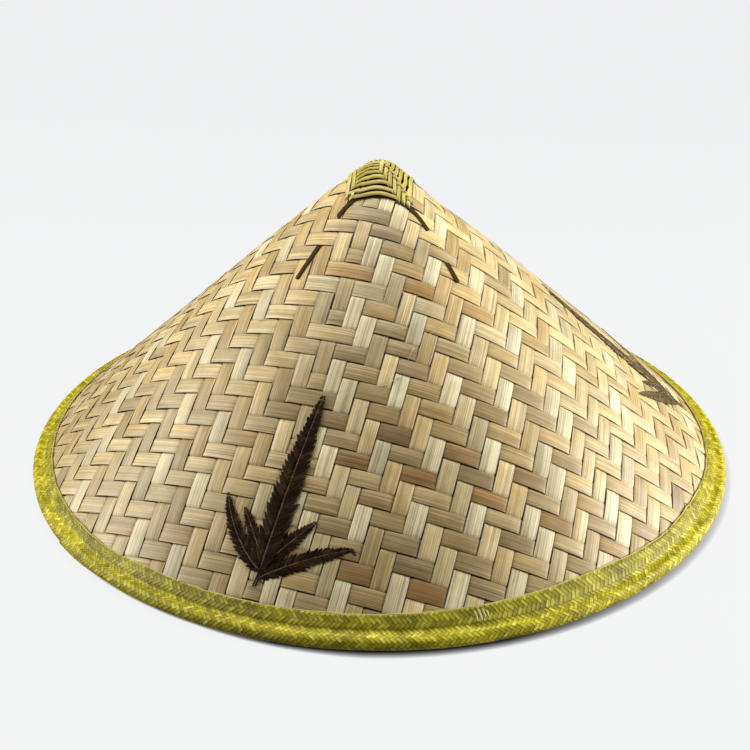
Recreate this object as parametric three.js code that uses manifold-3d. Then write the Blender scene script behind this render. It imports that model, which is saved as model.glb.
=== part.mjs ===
// Woven conical hat: a three-quarter disc of bamboo plait rolled into a cone, bound along the
// brim with folded straw braid, laced over the tip with split cane and trimmed with pressed ferns.
// Millimetres, Z up, the brim rests on Z = 0 and the hat's front faces -Y.
import * as THREE from 'three';
import { TessellateModifier } from 'three/addons/modifiers/TessellateModifier.js';
import { mergeVertices } from 'three/addons/utils/BufferGeometryUtils.js';
import Module from 'manifold-3d';

// Driving dimensions
const BRIM_RADIUS = 200;
const DISC_SHARE = 0.75; // share of a full disc that the flat plait fills before it is rolled
const PLAIT_THICKNESS = 1.6;
const CROWN_EDGE_SLANT = 254; // from the cone's point, along the slope, to the plait's cut edge
const CROWN_TIP_ROUNDING = 30;
const GAP = 0.3;

const BEAD_RADIUS = 3.5; // the bead is the roll that the braid makes round the brim
const BEAD_FLAT_DEPTH = 0.2; // how much of the bead is pressed flat where it rests
const BRAID_THICKNESS = 1.1;
const BRAID_OUTER_SLANT = 249.8; // where the braid ends on the outside of the plait
const BRAID_INNER_SLANT = 248.5; // where it ends inside
const GROOVE_SLANT = 257.4;
const GROOVE_BANK = 2; // width of the slope down into the groove beside the bead
const BEAD_OPENING = 150; // degrees either side of straight outward where the web meets the bead
const BEAD_FACET = 30; // degrees
const LAP_AZIMUTH = -57; // degrees; where the braid's end lies over its start
const LAP_LENGTH = 14; // degrees over which the lap fades towards the front
const LAP_RISE = 0.9;
const LAP_STEP = 0.4; // degrees over which the lap's cut end steps down

const CAP_TOP_Z = 172.8;
const CAP_RISE = 1.6; // height of the cap's outside over the cone
const CAP_CORNER_SHARPNESS = 10; // a higher number draws the square cap's corners out further
const TIP_ARC_STEPS = 4;

const CANE_RADIUS = 0.9;
const LEAF_THICKNESS = 0.5;
const LEAF_FACET = 12; // longest edge of a leaf's facets, so that it follows the cone
const STEM_WIDTH = 1.6;
const LEAF_CUTS = 8; // times that a leaf's longest facets are halved
const SAME_POINT = 1e-4;

const CROWN_SEGMENTS = 96;
const BINDING_SEGMENTS = 96;
const CAP_SEGMENTS = 60;
const CANE_STEPS = 36;

// The cone: its slope follows from the share of the disc, its height from the bead's centre line
const COS = DISC_SHARE;
const SIN = Math.sqrt(1 - COS * COS);
const SLOPE = Math.acos(COS);
const BEAD_CENTRE_R = BRIM_RADIUS - BEAD_RADIUS;
const BEAD_CENTRE_Z = BEAD_RADIUS - BEAD_FLAT_DEPTH;
const APEX_Z = BEAD_CENTRE_Z + (BEAD_CENTRE_R * SIN) / COS;
const BEAD_CENTRE_SLANT = BEAD_CENTRE_R / COS;
const degrees = THREE.MathUtils.degToRad;

// The cap is a square mat over the tip; reach is how far down the slope each side comes
const CAP_SIDES = [
  { azimuth: -4, reach: 27 },
  { azimuth: 86, reach: 23.8 },
  { azimuth: 176, reach: 25.6 },
  { azimuth: 266, reach: 22.5 },
];

// Route of a lacing cane over the cone: up one leg, round under the cap's edge, down the other
const LACING_ROUTE = [
  { azimuth: -43.5, slant: 84 },
  { azimuth: -43, slant: 62 },
  { azimuth: -42.5, slant: 42 },
  { azimuth: -40, slant: 36.2 },
  { azimuth: -31, slant: 31.8 },
  { azimuth: -17, slant: 29.8 },
  { azimuth: 0, slant: 29.2 },
  { azimuth: 16, slant: 30.3 },
  { azimuth: 29, slant: 33.8 },
  { azimuth: 36.5, slant: 38.5 },
  { azimuth: 41, slant: 46 },
  { azimuth: 41, slant: 64 },
  { azimuth: 40.3, slant: 84 },
];
const BACK_TURN = 180; // degrees from the front lacing cane to the back one
const BACK_SPREAD = 1.2; // its legs stand this much further apart than the front one's

// Leaflets of a fern on the flat sheet: the origin is the cone's point, x runs to the right and
// y up towards the point. bow is how far the midrib arches to the left of its chord.
const FRONT_FERN = {
  ray: -20,
  stem: { from: [4.3, -230], to: [3.2, -241.8] },
  leaflets: [
    { base: [3.9, -233], tip: [9.5, -141.6], width: 15.5, bow: 0.8 },
    { base: [3.5, -234], tip: [-24.5, -199.2], width: 9, bow: 3.3 },
    { base: [3.4, -228], tip: [-13.4, -205], width: 7, bow: 0 },
    { base: [4.6, -230.5], tip: [24, -204.8], width: 8.6, bow: 0 },
    { base: [4.6, -237], tip: [45.2, -213.6], width: 9.8, bow: 1.4 },
  ],
};
const RIGHT_FERN = {
  ray: 100,
  stem: { from: [-22, -227], to: [-25.2, -238] },
  leaflets: [
    { base: [-22, -230], tip: [-7, -121.5], width: 13, bow: 3.5 },
    { base: [-23.5, -232], tip: [-55, -189], width: 9.6, bow: 0.8 },
    { base: [-23, -227.5], tip: [-36.6, -197.8], width: 7, bow: -2.3 },
    { base: [-21.8, -228], tip: [-6, -198], width: 7, bow: 2 },
    { base: [-21.5, -232], tip: [20, -187], width: 8.6, bow: 2.5 },
  ],
};
// Half width of a leaflet along its midrib, as shares of its length and of its half width
const LEAFLET_PROFILE = [
  { along: 0, half: 0.55 },
  { along: 0.14, half: 0.92 },
  { along: 0.3, half: 1 },
  { along: 0.6, half: 0.74 },
  { along: 0.85, half: 0.34 },
];

const wasm = await Module();
wasm.setup();

const BAMBOO = { color: 0xd6c193, roughness: 0.55, metalness: 0 };
const DYED_STRAW = { color: 0xb3a928, roughness: 0.5, metalness: 0 };
const GREEN_CANE = { color: 0xb9a650, roughness: 0.5, metalness: 0 };
const DARK_CANE = { color: 0x33251a, roughness: 0.6, metalness: 0 };
const DRIED_LEAF = { color: 0x2b1f17, roughness: 0.7, metalness: 0 };

// Radius and height of a point that lies `height` above the cone's surface at a slant distance
function section(slant, height) {
  return new THREE.Vector2(slant * COS + height * SIN, APEX_Z - slant * SIN + height * COS);
}

function conePoint(azimuth, slant, height) {
  const { x: radius, y: z } = section(slant, height);
  return new THREE.Vector3(radius * Math.sin(azimuth), -radius * Math.cos(azimuth), z);
}

// A point of the flat sheet, rolled onto the cone about the ray at `rayAzimuth`
function rolledPoint(rayAzimuth, x, y, height) {
  return conePoint(rayAzimuth + Math.atan2(x, -y) / COS, Math.hypot(x, y), height);
}

function part(name, geometry, look) {
  const mesh = new THREE.Mesh(geometry, new THREE.MeshStandardMaterial(look));
  mesh.name = name;
  return mesh;
}

// A spun solid whose section may change with the azimuth; every section has as many points
function spun(sectionAt, segments, azimuthOf) {
  const count = sectionAt(0).length;
  const geometry = new THREE.LatheGeometry(sectionAt(0), segments);
  const position = geometry.attributes.position;
  for (let i = 0; i <= segments; i++) {
    const azimuth = azimuthOf(i % segments);
    sectionAt(azimuth).forEach((point, j) => {
      const x = point.x * Math.sin(azimuth);
      const y = -point.x * Math.cos(azimuth);
      position.setXYZ(i * count + j, x, y, point.y);
    });
  }
  return geometry;
}

function evenAzimuths(segments) {
  return (index) => (index * 2 * Math.PI) / segments;
}

// Smallest turn from one azimuth to another, in degrees
function turnTo(azimuth, target) {
  return THREE.MathUtils.euclideanModulo(azimuth - target + 180, 360) - 180;
}

// Section line of a cone whose point is rounded, from the axis out to an edge slant
function roundedLine(rounding, height, edgeSlant) {
  const centreZ = APEX_Z - (rounding - height) / COS;
  const line = [];
  for (let i = 0; i <= TIP_ARC_STEPS; i++) {
    const angle = (SLOPE * i) / TIP_ARC_STEPS;
    const radius = rounding * Math.sin(angle);
    line.push(new THREE.Vector2(radius, centreZ + rounding * Math.cos(angle)));
  }
  line.push(section(edgeSlant, height));
  return line;
}

function crown() {
  const outside = roundedLine(CROWN_TIP_ROUNDING, 0, CROWN_EDGE_SLANT);
  const innerRounding = CROWN_TIP_ROUNDING - PLAIT_THICKNESS;
  const inside = roundedLine(innerRounding, -PLAIT_THICKNESS, CROWN_EDGE_SLANT);
  const profile = [...outside, ...inside.reverse()].reverse();
  return spun(() => profile, CROWN_SEGMENTS, evenAzimuths(CROWN_SEGMENTS));
}

// How much the lapped end of the braid thickens the binding at an azimuth in radians
function lapRise(azimuth) {
  const turn = turnTo(THREE.MathUtils.radToDeg(azimuth), LAP_AZIMUTH - LAP_STEP / 2);
  const along = turn / LAP_LENGTH;
  if (along < 0) return 0;
  return LAP_RISE * (1 - THREE.MathUtils.smoothstep(along, 0, 1));
}

// Section of the binding: two flanges that clasp the plait's edge, a web beyond it, and the bead
function bindingSection(azimuth) {
  const rise = lapRise(azimuth);
  const above = GAP;
  const below = -PLAIT_THICKNESS - GAP;
  const slotEnd = CROWN_EDGE_SLANT + GAP;
  const outerFlange = [
    section(slotEnd, above),
    section(BRAID_OUTER_SLANT, above),
    section(BRAID_OUTER_SLANT, above + BRAID_THICKNESS + rise),
    section(GROOVE_SLANT - GROOVE_BANK, above + BRAID_THICKNESS + rise),
    section(GROOVE_SLANT, above + BRAID_THICKNESS / 2 + rise),
  ];
  const bead = [];
  const radius = BEAD_RADIUS + rise;
  for (let turn = BEAD_OPENING; turn >= -BEAD_OPENING; turn -= BEAD_FACET) {
    const slant = BEAD_CENTRE_SLANT + radius * Math.cos(degrees(turn));
    const point = section(slant, radius * Math.sin(degrees(turn)));
    point.x = Math.min(point.x, BRIM_RADIUS + rise / 2);
    point.y = Math.max(point.y, 0);
    bead.push(point);
  }
  const innerFlange = [
    section(BRAID_INNER_SLANT, below - BRAID_THICKNESS),
    section(BRAID_INNER_SLANT, below),
    section(slotEnd, below),
  ];
  return [...outerFlange, ...bead, ...innerFlange, outerFlange[0].clone()].reverse();
}

// Even steps round the brim from the lap's cut end, and one short step down that end
function bindingAzimuth(index) {
  const step = (360 - LAP_STEP) / (BINDING_SEGMENTS - 1);
  return degrees(LAP_AZIMUTH + index * step);
}

function rimBinding() {
  return spun(bindingSection, BINDING_SEGMENTS, bindingAzimuth);
}

// Slant of the cap's lower edge: a square in plan, with rounded corners
function capEdge(azimuth) {
  const nearness = CAP_SIDES.map((side) => {
    return Math.max(Math.cos(azimuth - degrees(side.azimuth)), 0) / side.reach;
  });
  const sum = nearness.reduce((total, near) => total + near ** CAP_CORNER_SHARPNESS, 0);
  return sum ** (-1 / CAP_CORNER_SHARPNESS);
}

function tipCap() {
  const coneHeight = APEX_Z + CAP_RISE / COS;
  const rounding = (coneHeight - CAP_TOP_Z) / (1 / COS - 1);
  const capSection = (azimuth) => {
    const edge = capEdge(azimuth);
    const outside = roundedLine(rounding, CAP_RISE, edge);
    const inside = roundedLine(CROWN_TIP_ROUNDING + GAP, GAP, edge);
    return [...outside, ...inside.reverse()].reverse();
  };
  return spun(capSection, CAP_SEGMENTS, evenAzimuths(CAP_SEGMENTS));
}

function lacingCane(turn, spread) {
  const height = GAP + CANE_RADIUS;
  const points = LACING_ROUTE.map(({ azimuth, slant }) => {
    return conePoint(degrees(azimuth * spread + turn), slant, height);
  });
  const outline = new THREE.Shape().absarc(0, 0, CANE_RADIUS, 0, 2 * Math.PI);
  const extrudePath = new THREE.CatmullRomCurve3(points, false, 'centripetal');
  return new THREE.ExtrudeGeometry(outline, { steps: CANE_STEPS, curveSegments: 4, extrudePath });
}

// Outline of one leaflet on the flat sheet, up one side of its bowed midrib and down the other
function leafletOutline({ base, tip, width, bow }) {
  const from = new THREE.Vector2(...base);
  const to = new THREE.Vector2(...tip);
  const left = to.clone().sub(from).normalize().rotateAround(new THREE.Vector2(), Math.PI / 2);
  const middle = from.clone().lerp(to, 0.5).addScaledVector(left, 2 * bow);
  const midrib = new THREE.QuadraticBezierCurve(from, middle, to);
  const side = (sign) => LEAFLET_PROFILE.map(({ along, half }) => {
    const across = midrib.getTangent(along).rotateAround(new THREE.Vector2(), Math.PI / 2);
    return midrib.getPoint(along).addScaledVector(across, (sign * half * width) / 2);
  });
  return new THREE.Shape([...side(-1), to, ...side(1).reverse()]);
}

function stemOutline({ from, to }) {
  const half = STEM_WIDTH / 2;
  return new THREE.Shape([
    new THREE.Vector2(to[0] - half, to[1]),
    new THREE.Vector2(to[0] + half, to[1]),
    new THREE.Vector2(from[0] + half, from[1]),
    new THREE.Vector2(from[0] - half, from[1]),
  ]);
}

// A solid that can be joined to others, from a closed geometry with its vertices merged
function toSolid(geometry) {
  geometry.deleteAttribute('normal');
  geometry.deleteAttribute('uv');
  const merged = mergeVertices(geometry);
  return new wasm.Manifold(new wasm.Mesh({
    numProp: 3,
    vertProperties: merged.attributes.position.array,
    triVerts: new Uint32Array(merged.index.array),
  }));
}

function toGeometry(solid) {
  const { vertProperties, triVerts } = solid.getMesh();
  const geometry = new THREE.BufferGeometry();
  geometry.setAttribute('position', new THREE.BufferAttribute(vertProperties, 3));
  geometry.setIndex(new THREE.BufferAttribute(triVerts, 1));
  return geometry;
}

// A fern: its leaflets and stem joined flat, cut into small facets and rolled onto the cone
function fern({ ray, stem, leaflets }) {
  const outlines = [stemOutline(stem), ...leaflets.map(leafletOutline)];
  const flat = outlines
    .map((outline) => {
      return new THREE.ExtrudeGeometry(outline, { depth: LEAF_THICKNESS, bevelEnabled: false });
    })
    .map(toSolid)
    .reduce((joined, solid) => joined.add(solid));
  const facets = new TessellateModifier(LEAF_FACET, LEAF_CUTS).modify(toGeometry(flat).toNonIndexed());
  const position = facets.attributes.position;
  for (let i = 0; i < position.count; i++) {
    const [x, y, lift] = [position.getX(i), position.getY(i), position.getZ(i)];
    const point = rolledPoint(degrees(ray), x, y, GAP + lift);
    position.setXYZ(i, point.x, point.y, point.z);
  }
  return mergeVertices(facets, SAME_POINT);
}

const hat = new THREE.Group();
hat.add(
  part('crown', crown(), BAMBOO),
  part('rim_binding', rimBinding(), DYED_STRAW),
  part('tip_cap', tipCap(), GREEN_CANE),
  part('lacing_cane_front', lacingCane(0, 1), DARK_CANE),
  part('lacing_cane_back', lacingCane(BACK_TURN, BACK_SPREAD), DARK_CANE),
  part('fern_front', fern(FRONT_FERN), DRIED_LEAF),
  part('fern_right', fern(RIGHT_FERN), DRIED_LEAF),
);

export default hat;
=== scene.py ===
# %% [markdown]
# A woven bamboo hat, built around its fixed frame.
# The frame is the hat's construction at its real size: crown, rim binding, tip cap, lacing canes and
# pressed ferns. Nothing in it is moved. Every piece made here stands in for one of those solids and
# shows what a plain solid can't: single strips, canes, braid strands and leaf teeth.

# %% Load the frame
import bisect
import math
import random
from collections import namedtuple

import bmesh
import bpy
from mathutils import Matrix, Vector, noise


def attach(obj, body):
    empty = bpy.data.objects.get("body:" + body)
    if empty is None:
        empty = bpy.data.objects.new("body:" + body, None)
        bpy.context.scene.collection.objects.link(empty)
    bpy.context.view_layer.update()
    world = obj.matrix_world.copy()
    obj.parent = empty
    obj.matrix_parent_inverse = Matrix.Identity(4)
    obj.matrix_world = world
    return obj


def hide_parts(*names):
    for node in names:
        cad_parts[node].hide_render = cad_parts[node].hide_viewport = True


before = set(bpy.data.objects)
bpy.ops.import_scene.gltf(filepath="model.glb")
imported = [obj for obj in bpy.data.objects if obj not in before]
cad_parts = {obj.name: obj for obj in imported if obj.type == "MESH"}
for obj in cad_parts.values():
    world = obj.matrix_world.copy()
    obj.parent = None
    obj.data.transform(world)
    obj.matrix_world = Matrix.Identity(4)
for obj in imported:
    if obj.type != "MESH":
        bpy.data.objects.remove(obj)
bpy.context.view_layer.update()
MM = 0.001

# %% [markdown]
# The hat starts as a flat plaited sheet, three quarters of a disc, that is rolled until its cut edges
# meet. Its slope follows from that share alone: a cone's radius over its slant is 0.75. So every piece
# here is drawn on the flat sheet, where strips are straight, and then rolled, as the maker does it.
# The sheet's own axes are x to the right and y up towards the hat's tip, about a ray down the slope.

# %% Roll the flat sheet
DISC_SHARE = 0.75
SLOPE = math.acos(DISC_SHARE)
BRIM_RADIUS = 200 * MM
BEAD_RADIUS = 3.5 * MM
BEAD_FLAT_DEPTH = 0.2 * MM
TIP_ROUNDING = 30 * MM
BEAD_CENTRE_SLANT = (BRIM_RADIUS - BEAD_RADIUS) / DISC_SHARE
APEX_Z = BEAD_RADIUS - BEAD_FLAT_DEPTH + BEAD_CENTRE_SLANT * math.sin(SLOPE)


# The hat is rolled by hand, so its cone is a little full in some places and hollow in others
Swell = namedtuple("Swell", "azimuth slant spread reach height")
SWELLS = (
    Swell(-95, 75, 50, 75, 1.3 * MM),
    Swell(95, 180, 55, 90, 0.8 * MM),
    Swell(85, 46, 50, 26, -2.2 * MM),
)
TIP_SINK = 1.8 * MM
TIP_SINK_REACH = 30 * MM
SWELL_START = 30 * MM


def unevenness(azimuth, slant):
    """How far the hat's surface lies over or under the even cone."""
    rise = -TIP_SINK * math.exp(-((slant / TIP_SINK_REACH) ** 4))
    for swell in SWELLS:
        turn = (math.degrees(azimuth) - swell.azimuth + 180) % 360 - 180
        aside = (turn / swell.spread) ** 2 + ((slant / MM - swell.slant) / swell.reach) ** 2
        rise += swell.height * math.exp(-aside) * min(slant / SWELL_START, 1.0)
    return rise


def on_cone(azimuth, slant, height, rounding=TIP_ROUNDING):
    """A point `height` over the cone, `slant` from its round tip; azimuth 0 is the front."""
    height += unevenness(azimuth, slant)
    bend = rounding * math.tan(SLOPE)
    if slant < bend:
        turn = SLOPE * slant / bend
        radius = (rounding + height) * math.sin(turn)
        z = APEX_Z - rounding / DISC_SHARE + (rounding + height) * math.cos(turn)
    else:
        radius = slant * DISC_SHARE + height * math.sin(SLOPE)
        z = APEX_Z - slant * math.sin(SLOPE) + height * DISC_SHARE
    return Vector((radius * math.sin(azimuth), -radius * math.cos(azimuth), z))


def rolled(ray, x, y, height, rounding=TIP_ROUNDING):
    """A point of the flat sheet, rolled on about the ray at azimuth `ray`."""
    return on_cone(ray + math.atan2(x, -y) / DISC_SHARE, math.hypot(x, y), height, rounding)


def flat_place(azimuth, slant):
    """Where a point of the cone lies on the flat sheet, about the ray at azimuth 0."""
    turn = azimuth * DISC_SHARE
    return slant * math.sin(turn), -slant * math.cos(turn)


print("tip of the cone at", round(APEX_Z / MM, 1), "mm, slope", round(math.degrees(SLOPE), 1), "degrees")

# %% [markdown]
# Every surface here is a plant: split bamboo, cane, straw, leaf. Their colours are kept as paint
# values from a chart, 0 to 255, and turned into the linear light that shaders work in.

# %% Colours
def paint(red, green, blue):
    """A chart colour as the linear colour that a shader takes."""
    linear = [((c / 255 + 0.055) / 1.055) ** 2.4 for c in (red, green, blue)]
    return (*linear, 1.0)


def mixed(first, second, share):
    """A colour between two others."""
    return tuple(a + (b - a) * share for a, b in zip(first, second))


print("middle grey in linear light:", round(paint(128, 128, 128)[0], 3))

# %% [markdown]
# Shader nodes are added with a few helpers, so that each material below reads as a short recipe.
# Plain values, the same all over a surface, are set on the shader's own sockets.

# %% Helpers for shader nodes
def add(tree, kind, inputs, **settings):
    """Adds a node; inputs gives each socket a value or another node's output."""
    made = tree.nodes.new(kind)
    for name, value in settings.items():
        setattr(made, name, value)
    for socket, value in inputs.items():
        if isinstance(value, bpy.types.NodeSocket):
            tree.links.new(value, made.inputs[socket])
        else:
            made.inputs[socket].default_value = value
    return made


def calc(tree, operation, first, second=0.0):
    """One step of arithmetic on two values."""
    return add(tree, "ShaderNodeMath", {0: first, 1: second}, operation=operation).outputs[0]


def product(tree, values):
    """All the values multiplied together."""
    total = values[0]
    for value in values[1:]:
        total = calc(tree, "MULTIPLY", total, value)
    return total


def ranged(tree, value, low, high, new_low, new_high):
    """A value moved from one range to another and kept inside it."""
    inputs = {"Value": value, "From Min": low, "From Max": high, "To Min": new_low, "To Max": new_high}
    return add(tree, "ShaderNodeMapRange", inputs).outputs["Result"]


def dimmed(tree, colour, share):
    """A colour times a grey value."""
    inputs = {"Vector": colour, "Scale": share}
    return add(tree, "ShaderNodeVectorMath", inputs, operation="SCALE").outputs["Vector"]


def blended(tree, share, first, second):
    """A mix of two colours by a value between 0 and 1."""
    inputs = {0: share, 6: first, 7: second}
    return add(tree, "ShaderNodeMix", inputs, data_type="RGBA").outputs[2]


def attribute(tree, name, output):
    """One of the values that the mesh carries at each vertex."""
    return add(tree, "ShaderNodeAttribute", {}, attribute_name=name).outputs[output]


def new_material(name, roughness, coat=0.0, coat_roughness=0.3, sheen=0.0):
    """A material with its shader, whose plain values are set on the shader's own sockets."""
    material = bpy.data.materials.new(name)
    material.use_nodes = True
    tree = material.node_tree
    shader = tree.nodes["Principled BSDF"]
    shader.inputs["Roughness"].default_value = roughness
    shader.inputs["Coat Weight"].default_value = coat
    shader.inputs["Coat Roughness"].default_value = coat_roughness
    shader.inputs["Sheen Weight"].default_value = sheen
    return material, tree, shader


def raised(tree, shader, height, distance):
    """Lets a height pattern shape the surface's light."""
    bump = add(tree, "ShaderNodeBump", {"Height": height, "Distance": distance, "Strength": 1.0})
    tree.links.new(bump.outputs["Normal"], shader.inputs["Normal"])


print("helpers ready")

# %% [markdown]
# Split bamboo, cane and straw all show the same thing close up: fibres, long along the strip and very
# fine across it. A noise stretched hundreds of times in one direction gives it. It could be a bitmap,
# but a pattern made by nodes stays sharp. It is a node group, because four materials use it. It reads
# where a point lies on its own strip, so the fibres run along each strip however it is bent.

# %% Fibre grain, a node group
def fibre_grain_group():
    """Place on the strip in, a fibre pattern from 0 to 1 out."""
    group = bpy.data.node_groups.new("fibre_grain", "ShaderNodeTree")
    group.interface.new_socket("Place", in_out="INPUT", socket_type="NodeSocketVector")
    group.interface.new_socket("Along", in_out="INPUT", socket_type="NodeSocketFloat")
    group.interface.new_socket("Across", in_out="INPUT", socket_type="NodeSocketFloat")
    group.interface.new_socket("Grain", in_out="OUTPUT", socket_type="NodeSocketFloat")
    entry = group.nodes.new("NodeGroupInput").outputs
    parts = add(group, "ShaderNodeSeparateXYZ", {0: entry["Place"]}).outputs
    along = calc(group, "MULTIPLY", parts[0], entry["Along"])
    across = calc(group, "MULTIPLY", parts[1], entry["Across"])
    spot = add(group, "ShaderNodeCombineXYZ", {0: along, 1: across, 2: parts[2]}).outputs[0]
    inputs = {"Vector": spot, "Scale": 1.0, "Detail": 3.0, "Roughness": 0.6}
    rough = add(group, "ShaderNodeTexNoise", inputs).outputs[0]
    spread = ranged(group, rough, 0.3, 0.7, 0.0, 1.0)
    add(group, "NodeGroupOutput", {"Grain": spread})
    return group


FIBRE_GRAIN = fibre_grain_group()


def fibre_grain(tree, place, along, across):
    """The grain on a strip: `along` and `across` are fibre lengths and widths in a metre."""
    inputs = {"Place": place, "Along": along, "Across": across}
    return add(tree, "ShaderNodeGroup", inputs, node_tree=FIBRE_GRAIN).outputs["Grain"]


print("node group:", FIBRE_GRAIN.name)

# %% [markdown]
# Anything flat that follows the cone, from a bamboo strip to a lacing cane, is the same shape: a
# ribbon along a route. A grid from the bmesh operator is laid along the route, its columns at the
# stops and its rows across, and a Solidify modifier gives it its thickness. The edges are rounded down
# a little, as a split strip's are. Each vertex also keeps its place on the strip, a colour and how
# deep it lies, for the material to read.

# %% Ribbons laid on the cone
Stop = namedtuple("Stop", "x y height tilt depth colour half")
Section = namedtuple("Section", "across drop")
FLAT = Section((-1.0, -0.95, 0.0, 0.95, 1.0), (1.0, 0.3, 0.0, 0.3, 1.0))
ROUND = Section((-1.0, -0.85, -0.45, 0.0, 0.45, 0.85, 1.0), (1.0, 0.6, 0.15, 0.0, 0.15, 0.6, 1.0))
SHEET_EDGE = 255.2 * MM
TIP_CUT, TIP_CUT_SLOPE = -0.5 * MM, 0.1


def new_ribbons():
    """An empty bmesh with the values that ribbons carry."""
    bm = bmesh.new()
    bm.verts.layers.float_vector.new("place")
    bm.verts.layers.float_color.new("tint")
    bm.verts.layers.float.new("depth")
    bm.verts.layers.float.new("edge")
    return bm


def heading(stops, column):
    """Unit direction of the route at a stop, on the flat sheet."""
    before = stops[max(column - 1, 0)]
    after = stops[min(column + 1, len(stops) - 1)]
    across_x, across_y = after.x - before.x, after.y - before.y
    length = math.hypot(across_x, across_y)
    return across_x / length, across_y / length


def lay_ribbon(
    bm, ray, stops, camber, seed, rounding=TIP_ROUNDING, trim=None, section=FLAT, roll=rolled,
):
    """Adds one ribbon along its stops; trim keeps it inside a disc of that slant."""
    columns, rows = len(stops) - 1, len(section.across) - 1
    place = bm.verts.layers.float_vector["place"]
    tint = bm.verts.layers.float_color["tint"]
    depth = bm.verts.layers.float["depth"]
    edge = bm.verts.layers.float["edge"]
    headings = [heading(stops, column) for column in range(columns + 1)]
    along = [0.0]
    for before, after in zip(stops, stops[1:]):
        along.append(along[-1] + math.hypot(after.x - before.x, after.y - before.y))
    grid = bmesh.ops.create_grid(bm, x_segments=columns, y_segments=rows, size=0.5)
    for vert in grid["verts"]:
        column = round((vert.co.x + 0.5) * columns)
        row = round((vert.co.y + 0.5) * rows)
        stop = stops[column]
        across = section.across[row] * stop.half
        x = stop.x - headings[column][1] * across
        y = stop.y + headings[column][0] * across
        if trim:
            y = min(y, TIP_CUT_SLOPE * abs(x) + TIP_CUT)
            reach = math.sqrt(max(trim**2 - y**2, 0.0))
            x = max(-reach, min(reach, x))
        height = stop.height + stop.tilt * across - camber * section.drop[row]
        vert.co = roll(ray, x, y, height, rounding)
        vert[place] = (along[column], across, seed)
        vert[tint] = stop.colour
        vert[depth] = stop.depth
        vert[edge] = 1.0 if row in (0, rows) else 0.0


print("rows of points across a flat ribbon:", len(FLAT.across), "and a round one:", len(ROUND.across))

# %% [markdown]
# A finished bmesh becomes an object with a material. It rides on the frame's one body, and the plain
# solids that it stands in for are hidden. The thickness is a modifier, so the ribbons stay simple
# sheets.

# %% Finish a piece
def finish_piece(name, bm, material, replaced=(), thickness=None):
    """Makes a bmesh a piece of the hat, rides it on the frame and hides the solids it stands for."""
    mesh = bpy.data.meshes.new(name)
    for face in bm.faces:
        face.smooth = True
    bm.to_mesh(mesh)
    bm.free()
    mesh.materials.append(material)
    piece = bpy.data.objects.new(name, mesh)
    bpy.context.scene.collection.objects.link(piece)
    if thickness:
        solid = piece.modifiers.new("thickness", "SOLIDIFY")
        solid.thickness = thickness
        solid.offset = 0.0
    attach(piece, "root")
    if replaced:
        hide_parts(*replaced)
    print(name, "has", len(mesh.polygons), "faces before its thickness")


print("helper for pieces ready")

# %% [markdown]
# The plait is a twill of three families of strips, each laid square to its own ray of the sheet: one
# round the front, one round the right and one round the left. Between two rays two families cross at
# right angles. A strip goes over two and under two, one step further each row, and on the rays, where
# three families take turns, some floats are three wide. The places are those of the hat's own strips,
# from the tip outwards, because split bamboo is never quite even.

# %% Places of the strips
FRONT, RIGHT, LEFT = "front", "right", "left"
RAY = {FRONT: math.radians(-20), RIGHT: math.radians(100), LEFT: math.radians(-140)}
RIGHT_HAND = {FRONT: RIGHT, RIGHT: LEFT, LEFT: FRONT}
LEFT_HAND = {FRONT: LEFT, RIGHT: FRONT, LEFT: RIGHT}
# Steps of the twill in which a family lies over the one on its right hand
OVER_STEPS = {FRONT: (0, 3), RIGHT: (0, 3), LEFT: (1, 2)}
COUNTED_PLACES = {
    FRONT: [3.1, 11.8, 20.6, 29.3, 38, 46, 54.4, 63, 71.6, 80.8, 90, 99, 107.8, 116.5, 125.5, 134.5,
            143.5, 152.8, 161.8, 170.3, 178.8, 187, 195.5, 204.8, 214.3, 224.3, 234.2, 243.8],
    RIGHT: [3.3, 11.5, 19.8, 28.8, 36.8, 44.5, 52.8, 60.9, 69.6, 79.4, 88.5, 97.2, 106.6, 115.7,
            124.4, 133.7, 143.3, 150.8, 158.5, 166.8, 175.3, 184.3],
    LEFT: [5.5, 14.7, 24, 33, 42.2, 51, 59.5, 68.8, 78, 87.1, 96.1, 105.1, 114, 122.7, 131.4, 140.3],
}
EVEN_PITCH = {FRONT: 9.2, RIGHT: 8.7, LEFT: 8.85}


def strip_places(family):
    """Distance of each strip's middle from the tip, on to the sheet's edge."""
    places = list(COUNTED_PLACES[family])
    while places[-1] + EVEN_PITCH[family] < SHEET_EDGE / MM:
        places.append(places[-1] + EVEN_PITCH[family])
    return [place * MM for place in places]


PLACES = {family: strip_places(family) for family in RAY}
print("strips in each family:", {family: len(places) for family, places in PLACES.items()})

# %% [markdown]
# Now the over and under. For each strip the crossings are listed from its left end to its right one.
# Where the strip changes sides it dives through in about three millimetres, and in between it lies
# flat, so the stops are close together at a dive and far apart on a float. That keeps the mesh light.

# %% Over and under
FLOAT_RISE = 0.42 * MM
DIVE = 1.7 * MM
PLAIT_MIDDLE = -0.75 * MM
STRIP_THICKNESS = 0.46 * MM
STRIP_CAMBER = 0.11 * MM
FAMILY_TILT = {FRONT: -0.015, RIGHT: 0.0, LEFT: 0.0}  # the front strips' lower edges stand proud
# Painted light and shade on each float, partly wear too: how far its colour is shifted
FLOAT_SHADE_SPREAD = 0.12
FLOAT_FILL = (0.93, 1.0)
FLOAT_BOW = 0.16 * MM


def on_top(family, strip, other, crossed):
    """True where a strip lies over one of another family."""
    if RIGHT_HAND[family] == other:
        return (strip - crossed) % 4 in OVER_STEPS[family]
    return (crossed - strip) % 4 not in OVER_STEPS[other]


def crossings(family, strip):
    """The strips that one crosses, from left to right: their places along it and +1 over, -1 under."""
    found = []
    for side, other in ((-1, LEFT_HAND[family]), (1, RIGHT_HAND[family])):
        for crossed, place in enumerate(PLACES[other]):
            found.append((side * place, 1 if on_top(family, strip, other, crossed) else -1))
    return sorted(found)


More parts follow.
